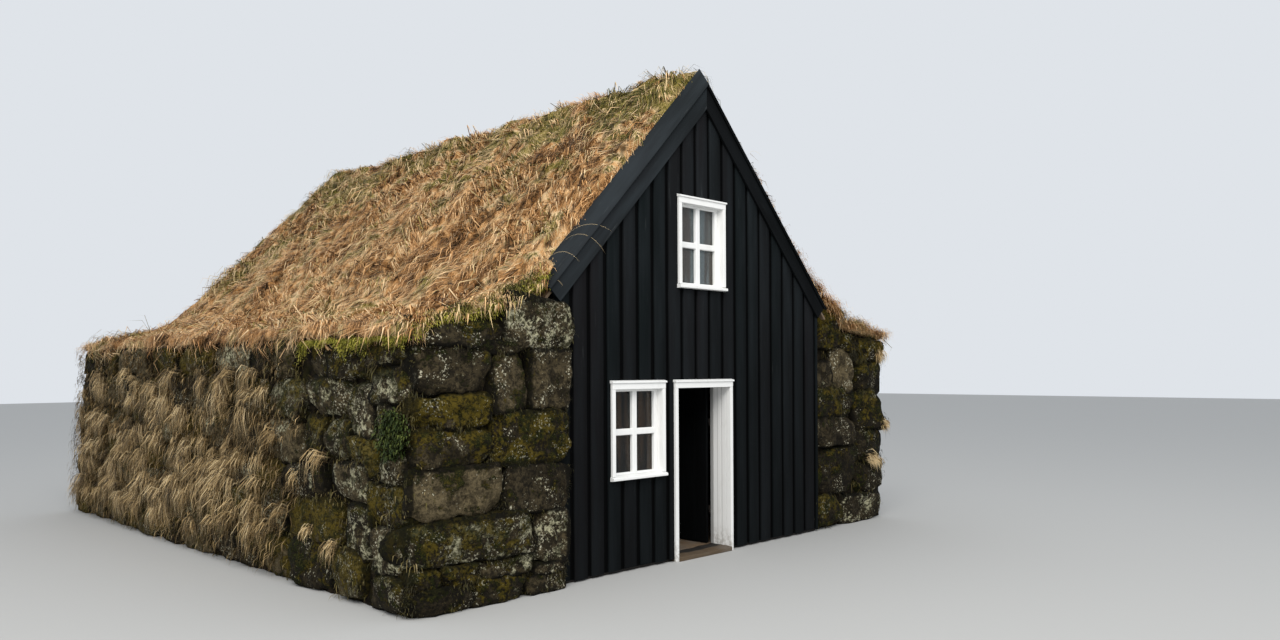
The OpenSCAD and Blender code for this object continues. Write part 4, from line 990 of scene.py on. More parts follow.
# The side's random courses leave the street corner to the stones above
sideRows = [row for row in courses(-3.60, 4.16, 2.15, 41, 0.55)
            if not (row[0] < -2.70 and row[3] > 1.25) and not (row[0] < -3.35 and row[3] > 0.50)]
leftSidePlaces = layStones("leftSideStones", leftCorner + sideRows, leftFace, outLeft, (16, 24), 500)
rearRows, partyRows = courses(-3.40, 3.49, 2.22, 43, 0.60), courses(-4.12, 4.22, 2.23, 47, 0.15, True)
rearPlaces = layStones("rearStones", rearRows, rearFace, outRear, (12, 18), 1500)
layStones("partyStones", partyRows, lambda z: house["party"], outParty, (10, 16), 2500, flatStone)
print("stones laid")


# Points spread evenly along a line of any dimension
def evenly(line, step, closed=False):
    line = np.asarray(line, float)
    if closed:
        line = np.concatenate([line, line[:1]])
    run = np.concatenate([[0], np.cumsum(np.linalg.norm(np.diff(line, axis=0), axis=1))])
    places = np.linspace(0, run[-1], max(3, int(round(run[-1] / step)) + 1))
    even = np.stack([np.interp(places, run, line[:, k]) for k in range(line.shape[1])], -1)
    return even[:-1] if closed else even


# The packed earth of a wall behind its stones: an outline in x and z, carried from the front to the rear
# face with small lumps outwards
def wallCore(name, outline, front, rear, replaces, seed):
    outline = evenly(outline, stones["coreStep"], True)
    t = np.linspace(0, 1, stones["coreRings"])[:, None]
    rings = np.zeros((len(t), len(outline), 3))
    rings[:, :, 0], rings[:, :, 2] = outline[:, 0], outline[:, 1]
    begin, end = front(outline[:, 1]), rear(outline[:, 1])
    rings[:, :, 1] = begin + t * (end - begin)
    outer = ease(np.abs(outline[:, 0]), 2.6, 3.2) * ease(3.49 - np.abs(outline[:, 0]), -0.01, 0.03)
    rings[:, :, 0] += np.sign(outline[:, 0]) * outer * 0.018 * ripple(rings, 0.22, seed)
    makePiece(name, tubes(rings), earth, replaces)


# The cores stay a little inside the walls' faces and tops. The rear one goes up into the rear gable
core, inner, innerTop = stones["core"], 1.978, 2.454
wallCore("leftWallCore", [(-3.435, 0), (-inner, 0), (-inner, innerTop), (-2.12, innerTop), (-3.335, 2.165)],
         lambda z: frontLeft(z) + core, lambda z: rearFace(z) - core, ("left_wall",), 71)
wallCore("rightWallCore", [(inner, 0), (3.50, 0), (3.50, 2.245), (2.12, innerTop), (inner, innerTop)],
         lambda z: frontRight(z) + core, lambda z: rearFace(z) - core, ("right_wall",), 72)
half, rafterTop = 1.976, house["turf"] + house["boarding"]
side, middle = (float(roofLine(x, rafterTop)) - 0.002 for x in (half, 0))
wallCore("rearWallCore", [(-half, 0), (half, 0), (half, side), (0, middle), (-half, side)],
         lambda z: np.full_like(z, house["innerRear"]),
         lambda z: np.where(z < house["ledge"], rearFace(z) - core, 4.015 - rearLean * (z - house["ledge"])),
         ("rear_wall",), 73)
print("wall cores made")

# Turf
turf = dict(step=0.042, rows=190, front=-4.106, leftOut=-0.150, rightOut=-0.040, rearIn=0.02,
            hummock=0.090, apart=0.75, fade=0.50, coarse=0.010, middling=0.014, small=0.008,
            ridgeLump=0.012, tussock=0.46, tussockHigh=0.050, seed=31)
grownTuft, dryTuft = 3.35, -2.53


# The turf's outline on one side, from the outer edge of the wall to the ridge: a rounded edge, the wall's
# top, a hollow curve into the slope, and a round ridge
def turfSide(edgeX, edgeTop):
    cap, r, bend, crown = (edgeTop + house["edgeTurf"], house["valleyRound"], house["edgeRound"],
                           house["ridgeRound"])
    lean = math.atan((house["shoulder"] + house["edgeTurf"] - cap) / (edgeX - house["eaveX"]))
    hollowX = (ridge + r / cosSlope - cap - r / math.cos(lean) - edgeX * math.tan(lean)) / (
        tanSlope - math.tan(lean))
    hollowZ = ridge + r / cosSlope - hollowX * tanSlope
    a = np.linspace(math.pi * 1.5 - lean, math.pi * 1.5 - slope, 12)
    b = np.linspace(math.pi / 2 - slope, math.pi / 2, 8)
    c = np.linspace(-0.4, math.pi / 2, 6)
    return np.concatenate([
        np.stack([edgeX - 0.05 + bend * np.cos(c), cap - bend + bend * np.sin(c)], -1),
        np.stack([hollowX + r * np.cos(a), hollowZ + r * np.sin(a)], -1),
        np.stack([crown * np.cos(b), ridge - crown / cosSlope + crown * np.sin(b)], -1)])


# How far forward and back the turf reaches: behind the verge board on the slopes, to the stones' edge on
# the walls, and to the leaning rear
def turfFront(x):
    onWall = ease(np.abs(x), 1.99, 2.10)
    return turf["front"] + onWall * np.where(x < 0, turf["leftOut"], turf["rightOut"])


def turfRear(z):
    return house["ledgeY"] - turf["rearIn"] - rearLean * np.maximum(z - house["ledge"], 0)


# What grows where: 0 is dead brown, then orange, straw and olive up to dark green at 1. Ripples of four
# sizes make it green where it is wet: by the street end of both slopes, along the ridge, low over the left
# corner, high up and to the rear, and in a tuft near the ridge's rear end; the tuft near its front is dry
def turfTone(points):
    x, y, z = np.moveaxis(points, -1, 0)
    broad, patch = ripple(points, 1.5, 201), ripple(points, 0.55, 202)
    small, tiny = ripple(points, 0.2, 203), ripple(points, 0.07, 204)
    onSlopes = 1 - 0.8 * ease(y, 3.45, 3.85)
    wet = 0.9 * np.exp(-((y + 3.4) / 1.5) ** 2) * ease(z, 3.3, 4.4)
    wet = wet + 0.7 * np.exp(-(x / 0.5) ** 2) * onSlopes
    wet = wet + 0.6 * ease(z, 2.9, 2.5) * ease(y, -2.0, -3.4) + 0.3 * ease(z, 4.9, 2.4) * ease(x, 0.5, 1.5)
    wet = wet + (0.50 * ease(z, 3.0, 4.1) + 0.85 * ease(y, -0.9, 2.4) * ease(z, 3.1, 4.1)) * onSlopes
    wet = wet + 1.3 * np.exp(-((y - grownTuft) / 0.28) ** 2 - (x / 0.4) ** 2)
    wet = wet - 1.5 * np.exp(-((y - dryTuft) / 0.30) ** 2 - (x / 0.4) ** 2)
    green = ease(0.50 * broad + 0.60 * patch + 0.60 * small + wet, 0.65, 1.80)
    dry = 0.43 + 0.080 * broad + 0.095 * patch + 0.100 * small + 0.07 * tiny
    dry = dry - 0.02 * ease(z, 3.4, 2.4)
    return np.clip(dry + green * (0.735 + 0.06 * small + 0.05 * tiny - dry), 0.02, 0.98)


# Lift of the turf at places on the roof: two crossed waves that sway, and a slanted one over them. It is
# less near the front, the rear and the outer edges
def hummocks(grid, spec):
    x, y, z = np.moveaxis(grid, -1, 0)
    turn = 2 * np.pi / spec["apart"]
    u, v = turn * x / cosSlope, turn * y
    crossed = (np.sin(v + math.radians(90) * np.sin(u / 2.3))
               * np.cos(u + math.radians(70) * np.sin(v / 2.7)))
    waves = crossed + 0.8 * np.sin(0.6 * v - 0.8 * u)
    rear = house["ledgeY"] - 0.13 - rearLean * np.maximum(z - house["ledge"], 0)
    outer = np.where(x < 0, house["leftEdge"], house["rightEdge"]) - np.abs(x)
    share = np.minimum(np.minimum(0.3 + (y + 4.15) / spec["fade"], (rear - y) / spec["fade"]),
                       0.3 + outer / spec["fade"])
    return spec["hummock"] / 3.6 * waves * np.clip(share, 0, 1)


# Tussocks lie on the slopes like ragged shingles. At each place: how far it is from the lip above it, where
# 0 is just below that lip and 1 is the next one, and how strong the tussocks are
def tussocks(points):
    flat = points * (1, 1, 0)
    swing = 0.95 * ripple(flat, 1.2, 301) + 0.55 * ripple(flat, 0.45, 302) + 0.22 * ripple(flat, 0.18, 304)
    phase = np.abs(points[..., 0]) / cosSlope / turf["tussock"] + swing
    return phase % 1.0, ease(ripple(flat, 0.8, 303), -1.1, 0.6)


# The two slopes and wall tops as one closed surface: a function of the place along the outline and of the
# way from the front to the rear, raised by hummocks, by tussocks and by ripples of three sizes
def turfSurface(spec):
    left, right = (turfSide(house[word + "Edge"], house[word + "Top"]) for word in ("left", "right"))
    top = evenly(np.concatenate([left * (-1, 1), right[::-1][1:]]), spec["step"])
    t = np.linspace(0, 1, spec["rows"])[:, None]
    begin, end = turfFront(top[:, 0]), turfRear(top[:, 1])
    y = begin + t * (end - begin)
    grid = np.stack([top[:, 0] + 0 * y, y, top[:, 1] + 0 * y], -1)
    tangent = unit(np.gradient(top, axis=0))
    normal = np.stack([-tangent[:, 1], 0 * tangent[:, 0], tangent[:, 0]], -1)
    edge = ease(np.minimum(y - begin, end - y), 0.0, 0.12)
    across, seed = np.abs(grid[..., 0]), spec["seed"]
    onRidge = np.exp(-(across / 0.22) ** 2)
    fine = ripple(grid, 0.13, seed + 2)
    lump = (spec["coarse"] * ripple(grid, 0.95, seed) + spec["middling"] * ripple(grid, 0.34, seed + 1)
            + spec["small"] * fine + spec["ridgeLump"] * onRidge * ripple(grid, 0.42, seed + 3)
            + 0.045 * onRidge * np.exp(-((y - grownTuft) / 0.16) ** 2))
    share, strength = tussocks(grid)
    slopes = ease(across, 0.05, 0.35) * ease(3.4 - across, 0.0, 0.5)
    shingle = (share / 0.88) ** 1.4 - 0.4 - 1.3 * ease(share, 0.86, 1.0)
    lump += spec["tussockHigh"] * slopes * strength * shingle
    lump = lump * (0.25 + 0.75 * edge) - 0.045 * (1 - edge) ** 2
    raised = grid + normal * lump[..., None]
    raised[..., 2] += hummocks(grid, spec)
    eave, shoulder = house["eaveX"] + 0.019, house["shoulder"] + 0.018
    low = np.array([(house["rightEdge"] - 0.03, house["rightTop"]), (eave, shoulder),
                    (0, float(roofLine(0, house["turf"])) + 0.001), (-eave, shoulder),
                    (-house["leftEdge"] + 0.03, house["leftTop"])])
    under = np.zeros((spec["rows"], len(low), 3))
    under[:, :, 0], under[:, :, 2] = low[:, 0], low[:, 1]
    under[:, :, 1] = -4.09 + t * (turfRear(low[:, 1]) - 0.01 + 4.09)
    return np.concatenate([raised, under], 1), raised, fine


# How much a place lies in the shade of the lip above it
def underLip(share, strength):
    return strength * ease(0.35 - share, 0.0, 0.30)


rings, turfGrid, fine = turfSurface(turf)
shape = tubes(rings)
# The thatch's painted shade: some everywhere, more under each tussock's lip
hollow = np.zeros(rings.shape[:2])
hollow[:, :turfGrid.shape[1]] = np.clip(0.40 - 0.30 * fine + 0.7 * underLip(*tussocks(turfGrid)), 0, 1)
makePiece("roofTurf", shape, thatch, ("left_turf", "right_turf"), smooth=True,
          marks={"tone": turfTone(shape[0]), "hollow": hollow.ravel()})

rearPatch = dict(half=2.58, columns=110, levels=60, back=4.022)


# The turf on the rear: a slab whose outer face leans with the gable, from the ledge up to the roof's
# outline, with ripples of three sizes that fade towards its edges
def rearSlab(spec):
    x = np.linspace(-spec["half"], spec["half"], spec["columns"])[:, None]
    top = np.minimum(roofLine(x, 0.03), ridge - 0.085) + 0.012 * np.sin(x * 7.3)
    t, ledge = np.linspace(0, 1, spec["levels"])[None, :], house["ledge"]
    z = (ledge - 0.03) + t * (np.maximum(top, ledge + 0.03) - ledge + 0.03)
    outer = np.stack([x + 0 * z, house["ledgeY"] - rearLean * (z - ledge), z], -1)
    edge = ease(t, 0.0, 0.06) * ease(1 - t, 0.0, 0.05) + 0 * z
    lump = sum(high * ripple(outer, size, seed)
               for high, size, seed in ((0.022, 0.6, 91), (0.014, 0.24, 92), (0.006, 0.11, 93)))
    outer[..., 1] += 0.01 + edge * lump - 0.03 * (1 - edge)
    inner = outer.copy()
    inner[..., 1] = spec["back"] - rearLean * (z - ledge)
    return outer, np.concatenate([outer, inner[:, ::-1]], 1)


rearGrid, rings = rearSlab(rearPatch)
shape = tubes(rings)
# The rear turf gets an even amount of painted shade
makePiece("rearTurf", shape, thatch, ("rear_turf",), smooth=True,
          marks={"tone": turfTone(shape[0]), "hollow": np.full(len(shape[0]), 0.4)})
print("turf laid")

# Grass
grass = dict(clumps=4500, inClump=9, single=20000, length=0.195, width=0.0050, farShare=0.65,
             verge=-4.128, seed=801)


# Blades as strips of two lengths: from the root over a bent middle to a tip. The ways to the middle and
# to the tip are measured in blade lengths
def bladeStrips(roots, toMiddle, toTip, length, width, face):
    side = unit(np.cross(toTip, face)) * width[:, None]
    middle, tip = roots + toMiddle * length[:, None], roots + toTip * length[:, None]
    return np.stack([roots - side / 2, roots + side / 2, middle - side * 0.42, middle + side * 0.42,
                     tip], 1)


# A piece of grass from lots of strips and tones: each strip is a row of pairs of points that ends in a tip
def grassPiece(name, lots, finish=blade):
    strips, tone = (np.concatenate(part) for part in zip(*lots))
    strips = np.clip(strips, (-3.70, -4.50, 0.005), (3.54, 4.50, 5.09))
    count, points = strips.shape[:2]
    pairs = points // 2
    start = points * np.arange(count)[:, None]
    faces = [start + np.array([[2 * k, 2 * k + 1, 2 * k + 3, 2 * k + 2]]) for k in range(pairs - 1)]
    faces.append(start + np.array([[points - 3, points - 2, points - 1]]))
    along = np.tile(np.append(np.repeat(np.arange(pairs) / pairs, 2), 1.0), count)
    tones = np.repeat(np.clip(tone, 0.01, 0.99), points)
    makePiece(name, (strips.reshape(-1, 3), faces), finish, smooth=True,
              marks={"tone": tones, "along": along}, uv=np.stack([tones, along], -1), closed=False)
    print(name, count, "blades")


# Random places on a grid of points, with the surface's normal there
def onGrid(grid, rng, count):
    rows, columns = grid.shape[:2]
    a, b = rng.uniform(0, 1, count) * (rows - 1.001), rng.uniform(0, 1, count) * (columns - 1.001)
    i, j = a.astype(int), b.astype(int)
    s, t = (a - i)[:, None], (b - j)[:, None]
    point = ((1 - s) * (1 - t) * grid[i, j] + s * (1 - t) * grid[i + 1, j]
             + (1 - s) * t * grid[i, j + 1] + s * t * grid[i + 1, j + 1])
    return point, unit(np.cross(grid[i, j + 1] - grid[i, j], grid[i + 1, j] - grid[i, j]))


# The way that grass is combed at a place: two broad swirls and two smaller ones
def swirl(points):
    flat = points * (1, 1, 0.5)
    return np.stack([0.50 * ripple(flat, 1.3, seed) + 0.45 * ripple(flat, 0.5, seed + 3)
                     for seed in (401, 402)] + [np.zeros(len(points))], -1)


# Grass that lies down a surface: clumps that share a way and a tone, and single blades between them. It is
# long and springs up at a tussock's lip, and short and darkened by painted shade below it
def lyingGrass(grid, spec, much):
    rng = np.random.default_rng(spec["seed"])
    clumps, inClump, single = int(spec["clumps"] * much), spec["inClump"], int(spec["single"] * much)
    roots, normals = (np.repeat(part, inClump, 0) for part in onGrid(grid, rng, clumps))
    away = rng.normal(0, 0.024, roots.shape)
    away -= normals * (away * normals).sum(1, keepdims=True)
    more, moreNormals = onGrid(grid, rng, single)
    roots = np.concatenate([roots + away, more])
    normals = np.concatenate([normals, moreNormals])
    fan = np.concatenate([away * 4, np.zeros_like(more)])
    count = len(roots)
    tuftWay = np.concatenate([np.repeat(rng.normal(0, 0.20, (clumps, 3)), inClump, 0),
                              rng.normal(0, 0.2, (single, 3))])
    down = np.array([0, 0, -1.0]) + normals * normals[:, 2:3]
    steep = np.linalg.norm(down, axis=1, keepdims=True)
    way = unit(down) * np.clip(steep * 1.6, 0.3, 1) + swirl(roots) + tuftWay + fan
    way = unit(way + rng.normal(0, 0.14, roots.shape))
    way -= normals * (way * normals).sum(1, keepdims=True)
    way = unit(way)
    share, strength = tussocks(roots)
    lip = (strength * ease(share, 0.45, 0.95))[:, None]
    lift = rng.uniform(0.08, 0.30, count)[:, None] + 0.14 * lip
    droop = rng.uniform(0.05, 0.35, count)[:, None] + 0.25 * lip
    length = spec["length"] * rng.uniform(0.55, 1.35, count) * (0.75 + 0.55 * lip[:, 0])
    width = spec["width"] * rng.uniform(0.7, 1.3, count) / math.sqrt(much)
    tuftTone = np.concatenate([np.repeat(rng.normal(0, 0.045, clumps), inClump),
                               rng.normal(0, 0.07, single)])
    # below a lip the tone is lowered as painted shade
    tone = (turfTone(roots) + tuftTone + rng.normal(0, 0.035, count) - 0.16 * underLip(share, strength)
            + 0.05 * lip[:, 0])
    # some blades are pale and long and others dark, both broader than the rest. Beside the gable, high on
    # the slope, fewer are pale and more are dark, and low on the slope fewer are dark
    shady = 0.14 * ease(roots[:, 1], -1.5, -3.0) * ease(roots[:, 2], 3.4, 4.3)
    chance = rng.uniform(0, 1, count)
    pale = chance < 0.13 - 0.5 * shady
    dark = chance > 0.80 - shady + 0.09 * ease(roots[:, 2], 3.7, 2.6)
    tone = tone + np.where(tone < 0.58, 1, -1) * (0.15 * pale - 0.24 * dark)
    width, length = width * (1 + 1.2 * (pale | dark)), length * (1 + 0.4 * pale)
    strips = bladeStrips(roots - normals * 0.006, way * 0.5 + normals * lift,
                         way * 0.95 + normals * (lift * 1.2 - droop), length, width, normals)
    # on the slopes no blade reaches out past the verge board's upper edge
    limit = np.where(np.abs(roots[:, 0]) < 2.06, spec["verge"] + rng.normal(0, 0.012, count), -9.0)
    strips[..., 1] = np.maximum(strips[..., 1], limit[:, None])
    return strips, tone


# Grass that hangs over an edge: it springs outwards and then falls
def hangingGrass(roots, out, seed, length, width=0.0050, spring=0.35, spread=0.25, tone=None):
    rng = np.random.default_rng(seed)
    count = len(roots)
    out = unit(out + rng.normal(0, spread, roots.shape) * (1, 1, 0.3))
    springing, fall = spring * rng.uniform(0.5, 1.4, (count, 1)), np.array([0, 0, -1.0])
    toMiddle = out * springing + fall * (0.38 - 0.3 * springing)
    toTip = out * springing * 1.25 + fall * (0.95 - 0.35 * springing) + rng.normal(0, 0.05, roots.shape)
    length = length * rng.uniform(0.5, 1.3, count)
    tone = (turfTone(roots) if tone is None else tone) + rng.normal(0, 0.05, count)
    return bladeStrips(roots, toMiddle, toTip, length, width * rng.uniform(0.7, 1.3, count), out), tone


peak = int(np.argmin(np.abs(turfGrid[5, :, 0])))
grassPiece("leftSlopeGrass", [lyingGrass(turfGrid[:, :peak + 1], grass, 1.0)])
grassPiece("rightSlopeGrass", [lyingGrass(turfGrid[:, peak:], grass, grass["farShare"])])


# Roots along a curve of the turf's surface, in tufts
def tuftedLine(line, seed, tufts, inTuft, reach):
    rng = np.random.default_rng(seed)
    line = evenly(line, 0.02)
    middle = line[rng.integers(0, len(line), tufts)]
    return np.repeat(middle, inTuft, 0) + rng.normal(0, reach, (tufts * inTuft, 3))


# Edges of the walls' turf: the long left side, the street end of the left wall, and that of the right one
# with the hump of moss on it
rng = np.random.default_rng(812)
roots = tuftedLine(turfGrid[:, 3], 811, 620, 16, (0.03, 0.03, 0.015))
long = 0.105 + 0.075 * np.clip(ripple(roots, 0.5, 813) + 0.5 * ripple(roots, 0.2, 815), -1, 1)
leftEdge = hangingGrass(roots, (-1.0, 0, 0.25), 814, long)
corner = np.argmin(np.abs(turfGrid[0, :, 0] + 2.02))
roots = np.concatenate([tuftedLine(turfGrid[row, 2:corner], 821 + row, 170, 12, (0.03, 0.02, 0.02))
                        for row in (1, 2)])
long = 0.058 + 0.036 * np.clip(ripple(roots, 0.30, 826) + 0.4 * ripple(roots, 0.9, 827), -0.9, 1)
strips, tone = hangingGrass(roots, (-0.5, -0.5, 0.6), 822, long, 0.0048, 0.9, 1.0)
frontEdge = strips, tone + 0.16 + 0.25 * wave(roots, 0.22, 828)
corner = np.argmin(np.abs(turfGrid[0, :, 0] - 1.99))
hump = [(2.02, -4.00, 2.71), (2.50, -4.00, 2.66), (2.85, -4.02, 2.50), (3.45, -4.06, 2.34)]
roots = np.concatenate([tuftedLine(turfGrid[row, corner:-2], 831 + row, 130, 14, (0.03, 0.03, 0.02))
                        for row in (1, 2, 3)] + [tuftedLine(hump, 839, 130, 14, (0.03, 0.06, 0.018))])
long = 0.13 + 0.05 * wave(roots, 0.35, 837)
rightTone = 0.53 + 0.10 * wave(roots, 0.3, 838) + rng.normal(0, 0.06, len(roots))
strips, _ = hangingGrass(roots, (0.7, -0.8, 0.25), 832, long, 0.0065, 0.7, 0.4)
grassPiece("wallEdgeGrass", [leftEdge, frontEdge, (strips, rightTone)])

# Short grass that leans over the verge boards here and there, and tufts along the ridge, with a high one
onVerge = np.abs(turfGrid[0, :, 0]) < 2.02
roots = tuftedLine(turfGrid[1, onVerge], 841, 330, 14, (0.012, 0.008, 0.012))
roots = roots[ripple(roots, 0.5, 843) > -0.1]
roots = roots[roots[:, 0] > -1.75]
vergeEdge = hangingGrass(roots - (0, 0.01, 0), (0, -1.0, 0.45), 842, 0.052, 0.0042, 0.5)
onFoot = (turfGrid[1, :, 0] > 0.9) & (turfGrid[1, :, 0] < 2.08)
roots = tuftedLine(turfGrid[1, onFoot], 845, 150, 14, (0.012, 0.03, 0.012))
long = 0.04 + 0.07 * ease(roots[:, 0], 1.3, 2.05)
vergeFoot = hangingGrass(roots, (0.9, -0.3, 0.3), 846, long, 0.0055, 0.9, 0.35,
                         0.53 + 0.05 * ripple(roots, 0.2, 847))
roots = tuftedLine(turfGrid[:, peak], 851, 330, 14, (0.05, 0.03, 0.006))
roots = roots[roots[:, 1] > -3.95]
high = 1 + 1.1 * np.exp(-((roots[:, 1] - dryTuft) / 0.16) ** 2)
lean = unit(np.stack([np.sign(roots[:, 0] + 1e-6) * 0.6, rng.normal(0, 0.4, len(roots)),
                      0.9 + 0 * roots[:, 0]], -1))
ridgeStrips = bladeStrips(roots - (0, 0, 0.01), lean * 0.55, lean * (1.0, 1.0, 0.55),
                          0.070 * high * rng.uniform(0.5, 1.3, len(roots)), np.full(len(roots), 0.0045),
                          (0, 1.0, 0.1))
ridgeTone = 0.43 + 0.4 * (turfTone(roots) - 0.43) + rng.normal(0, 0.07, len(roots))
grassPiece("vergeGrass", [vergeEdge, vergeFoot, (ridgeStrips, ridgeTone)])

# The rear's turf: grass that hangs down its face
points, _ = onGrid(rearGrid, np.random.default_rng(861), 11000)
grassPiece("rearGrass", [hangingGrass(points, (0, 1.0, 0.1), 862, 0.13, 0.0058, 0.18, 0.3)])

longHair = dict(inTuft=56, wide=0.070, length=0.25, tone=0.58, bladeWidth=0.0072)
shortHair = {**longHair, "inTuft": 110, "wide": 0.10, "length": 0.17, "tone": 0.80}


# Tufts that hang from a wall like combed hair: a tuft's blades start close together, arch outwards and
# fall, swept to one side by a share that is drawn for each tuft, as points on a curve with three lengths to
# a tip
def combedTufts(places, out, sweep, seed, spec=longHair):
    rng = np.random.default_rng(seed)
    inTuft, fall = spec["inTuft"], np.array([0, 0, -1.0])
    out, along = np.array(out, float), np.array([abs(out[1]), abs(out[0]), 0.0])
    count, total = len(places), len(places) * inTuft
    size = 0.55 + 1.00 * rng.uniform(0, 1, (count, 1, 1)) ** 1.5
    offset = rng.normal(0, 0.5, (count, inTuft, 1)) * size * spec["wide"]
    roots = places[:, None, :] + along * offset + rng.normal(0, 0.014, (count, inTuft, 3)) * (1, 1, 2)
    side = rng.normal(sweep, 0.55, (count, 1, 1)) + offset * 3.0 + rng.normal(0, 0.32, (count, inTuft, 1))
    reach = rng.uniform(0.10, 0.38, (count, inTuft, 1))
    drop = rng.uniform(0.70, 0.95, (count, inTuft, 1))
    steps = [out * reach * outward + along * side * sideways + fall * down for outward, sideways, down in (
        (0, 0, 0), (0.75, 0.20, -0.10), (0.95, 0.50, 0.20), (0.55, 0.80, drop))]
    long = spec["length"] * size * rng.uniform(0.5, 1.15, (count, inTuft, 1))
    line = np.stack([(roots + step * long).reshape(-1, 3) for step in steps], 1)
    across = unit(np.cross(line[:, 3] - line[:, 1], out))
    across = across * (spec["bladeWidth"] * rng.uniform(0.5, 1.4, total))[:, None]
    sides = [line[:, k] + across * share for k, share in (
        (0, -0.5), (0, 0.5), (1, -0.5), (1, 0.5), (2, -0.4), (2, 0.4))]
    tuftTone = np.repeat(rng.normal(spec["tone"], 0.12, count), inTuft) + rng.normal(0, 0.29, total)
    return np.stack(sides + [line[:, 3]], 1), tuftTone


# On the left side the tufts stand where a ripple picks them, and on the stones beside the corner a few
# listed ones; some hang on the rear and on the right wall's street end
rng = np.random.default_rng(871)
y, z = rng.uniform(-1.8, 4.05, 900), 0.30 + 1.58 * rng.uniform(0, 1, 900) ** 1.15
places = np.stack([leftFace(z) - 0.006, y, z], -1)
grown = ripple(places, 0.55, 870) + 0.4 * ripple(places, 0.22, 869) > 0.35 * ease(z, 0.9, 1.7) - 0.25
places = np.concatenate([places[grown][:215], [(leftFace(z0), y0, z0) for y0, z0 in (
    (-2.0, 1.30), (-2.2, 0.62), (-2.45, 0.95), (-2.7, 0.50), (-2.9, 1.15), (-3.15, 0.42), (-1.95, 0.45))]])
sideTufts = combedTufts(places, (-1, 0, 0), 0.85, 872)
x, z = rng.uniform(-3.2, 3.3, 60), rng.uniform(0.45, 1.9, 60)
rearTufts = combedTufts(np.stack([x, rearFace(z) + 0.006, z], -1), (0, 1, 0), 0.3, 874)
x, z = np.array([3.36, 3.42, 3.10]), np.array([2.06, 1.18, 0.76])
noseTufts = combedTufts(np.stack([x, frontRight(z) - 0.03, z], -1), (0, -1, 0), 0.3, 876, shortHair)
grassPiece("wallTufts", [sideTufts, rearTufts, noseTufts], hair)

# A shag of short dark hair between the tufts, where earth and moss cover the stones
y = rng.uniform(-2.7, 4.2, 14000)
z = 0.1 + 2.03 * rng.uniform(0, 1, 14000) ** 0.8
roots = np.stack([leftFace(z) - 0.02, y, z], -1)
share = ease(y, -2.7, -1.6) * (0.65 + 0.35 * ease(z, 1.9, 1.5))
roots = roots[share + 0.35 * ripple(roots, 0.45, 877) > 0.45]
long = 0.08 + 0.08 * ease(roots[:, 2], 1.8, 1.1)
shagTone = 0.47 + 0.18 * wave(roots, 0.4, 878) + rng.normal(0, 0.14, len(roots))
grassPiece("wallShag", [hangingGrass(roots, (-1.0, 0.6, 0.1), 879, long, 0.008, 0.4, 0.5, shagTone)], hair)


# Moss and roots on stonework: blades on mossy stones and in the joints. A stone's points are drawn by
# chance, which grows with its moss and towards the joints, where ripples let moss grow and where the face
# turns away from the wall's own direction
def mossyBlades(places, outward, count, seed, length, tone):
    rng = np.random.default_rng(seed)
    points, normals, rim, moss = places
    facing = normals @ np.array(outward, float)
    across = np.sqrt(np.clip(1 - facing ** 2, 0, 1))
    grown = np.clip(ripple(points, 0.30, seed) + 0.5 * ripple(points, 0.11, seed + 1), -1, 1)
    chance = ((1 - rim) ** 2 * (0.6 + moss) + 0.5 * moss ** 2) * np.clip(0.35 + grown, 0, 1)
    chance = chance * (facing > 0.10) * (0.1 + across) * (points[:, 2] > 0.03)
    pick = rng.choice(len(points), count, p=chance / chance.sum())
    roots = points[pick] + rng.normal(0, 0.008, (count, 3)) - 0.004 * normals[pick]
    tone = tone + 0.20 * wave(roots, 0.25, seed + 2) + rng.normal(0, 0.15, count)
    long = length * (1 + 0.9 * np.clip(grown[pick], -0.3, 1))
    return hangingGrass(roots, normals[pick] + (0, 0, 0.2), seed + 3, long, 0.0045 + 0.07 * length, 0.7,
                        0.55, tone)


# A bright cushion of moss hangs under the grass at the street corner, on both faces
cushion = dict(blades=3600, begin=-4.20, end=-2.45, top=2.14, length=0.035, width=0.007)
rng, count = np.random.default_rng(899), cushion["blades"]
y = rng.uniform(cushion["begin"], cushion["end"], count)
drop = np.clip(0.07 + 0.06 * np.sin(y * 7.0) + 0.05 * np.sin(y * 17.0), 0.015, 0.2)
z = cushion["top"] - np.abs(rng.normal(0, 0.5, count)) * drop
sideRoots = np.stack([leftFace(z) - 0.03 - rng.uniform(0, 0.03, count), y, z], -1)
onNose = (turfGrid[1, :, 0] < -2.1) & (turfGrid[1, :, 0] > -3.4)
frontRoots = tuftedLine(turfGrid[1, onNose], 903, 190, 16, (0.03, 0.012, 0.030)) - (0, 0.022, 0.035)
roots = np.concatenate([sideRoots, frontRoots[ripple(frontRoots, 0.35, 904) > -0.6]])
out = np.where(np.arange(len(roots))[:, None] < count, (-1.0, -0.2, 0.3), (-0.2, -1.0, 0.3))
grassPiece("mossCushion", [hangingGrass(roots, out, 900, cushion["length"], cushion["width"], 0.9, 0.7,
                                        0.62 + 0.30 * wave(roots, 0.12, 901))], cushionMoss)

grassPiece("jointMoss", [mossyBlades(leftNosePlaces, outFront, 4000, 891, 0.020, 0.22),
                         mossyBlades(rightNosePlaces, outFront, 4000, 893, 0.040, 0.20),
                         mossyBlades(leftSidePlaces, outLeft, 11000, 895, 0.055, 0.42),
                         mossyBlades(rearPlaces, outRear, 4500, 897, 0.055, 0.42)], mossBlade)

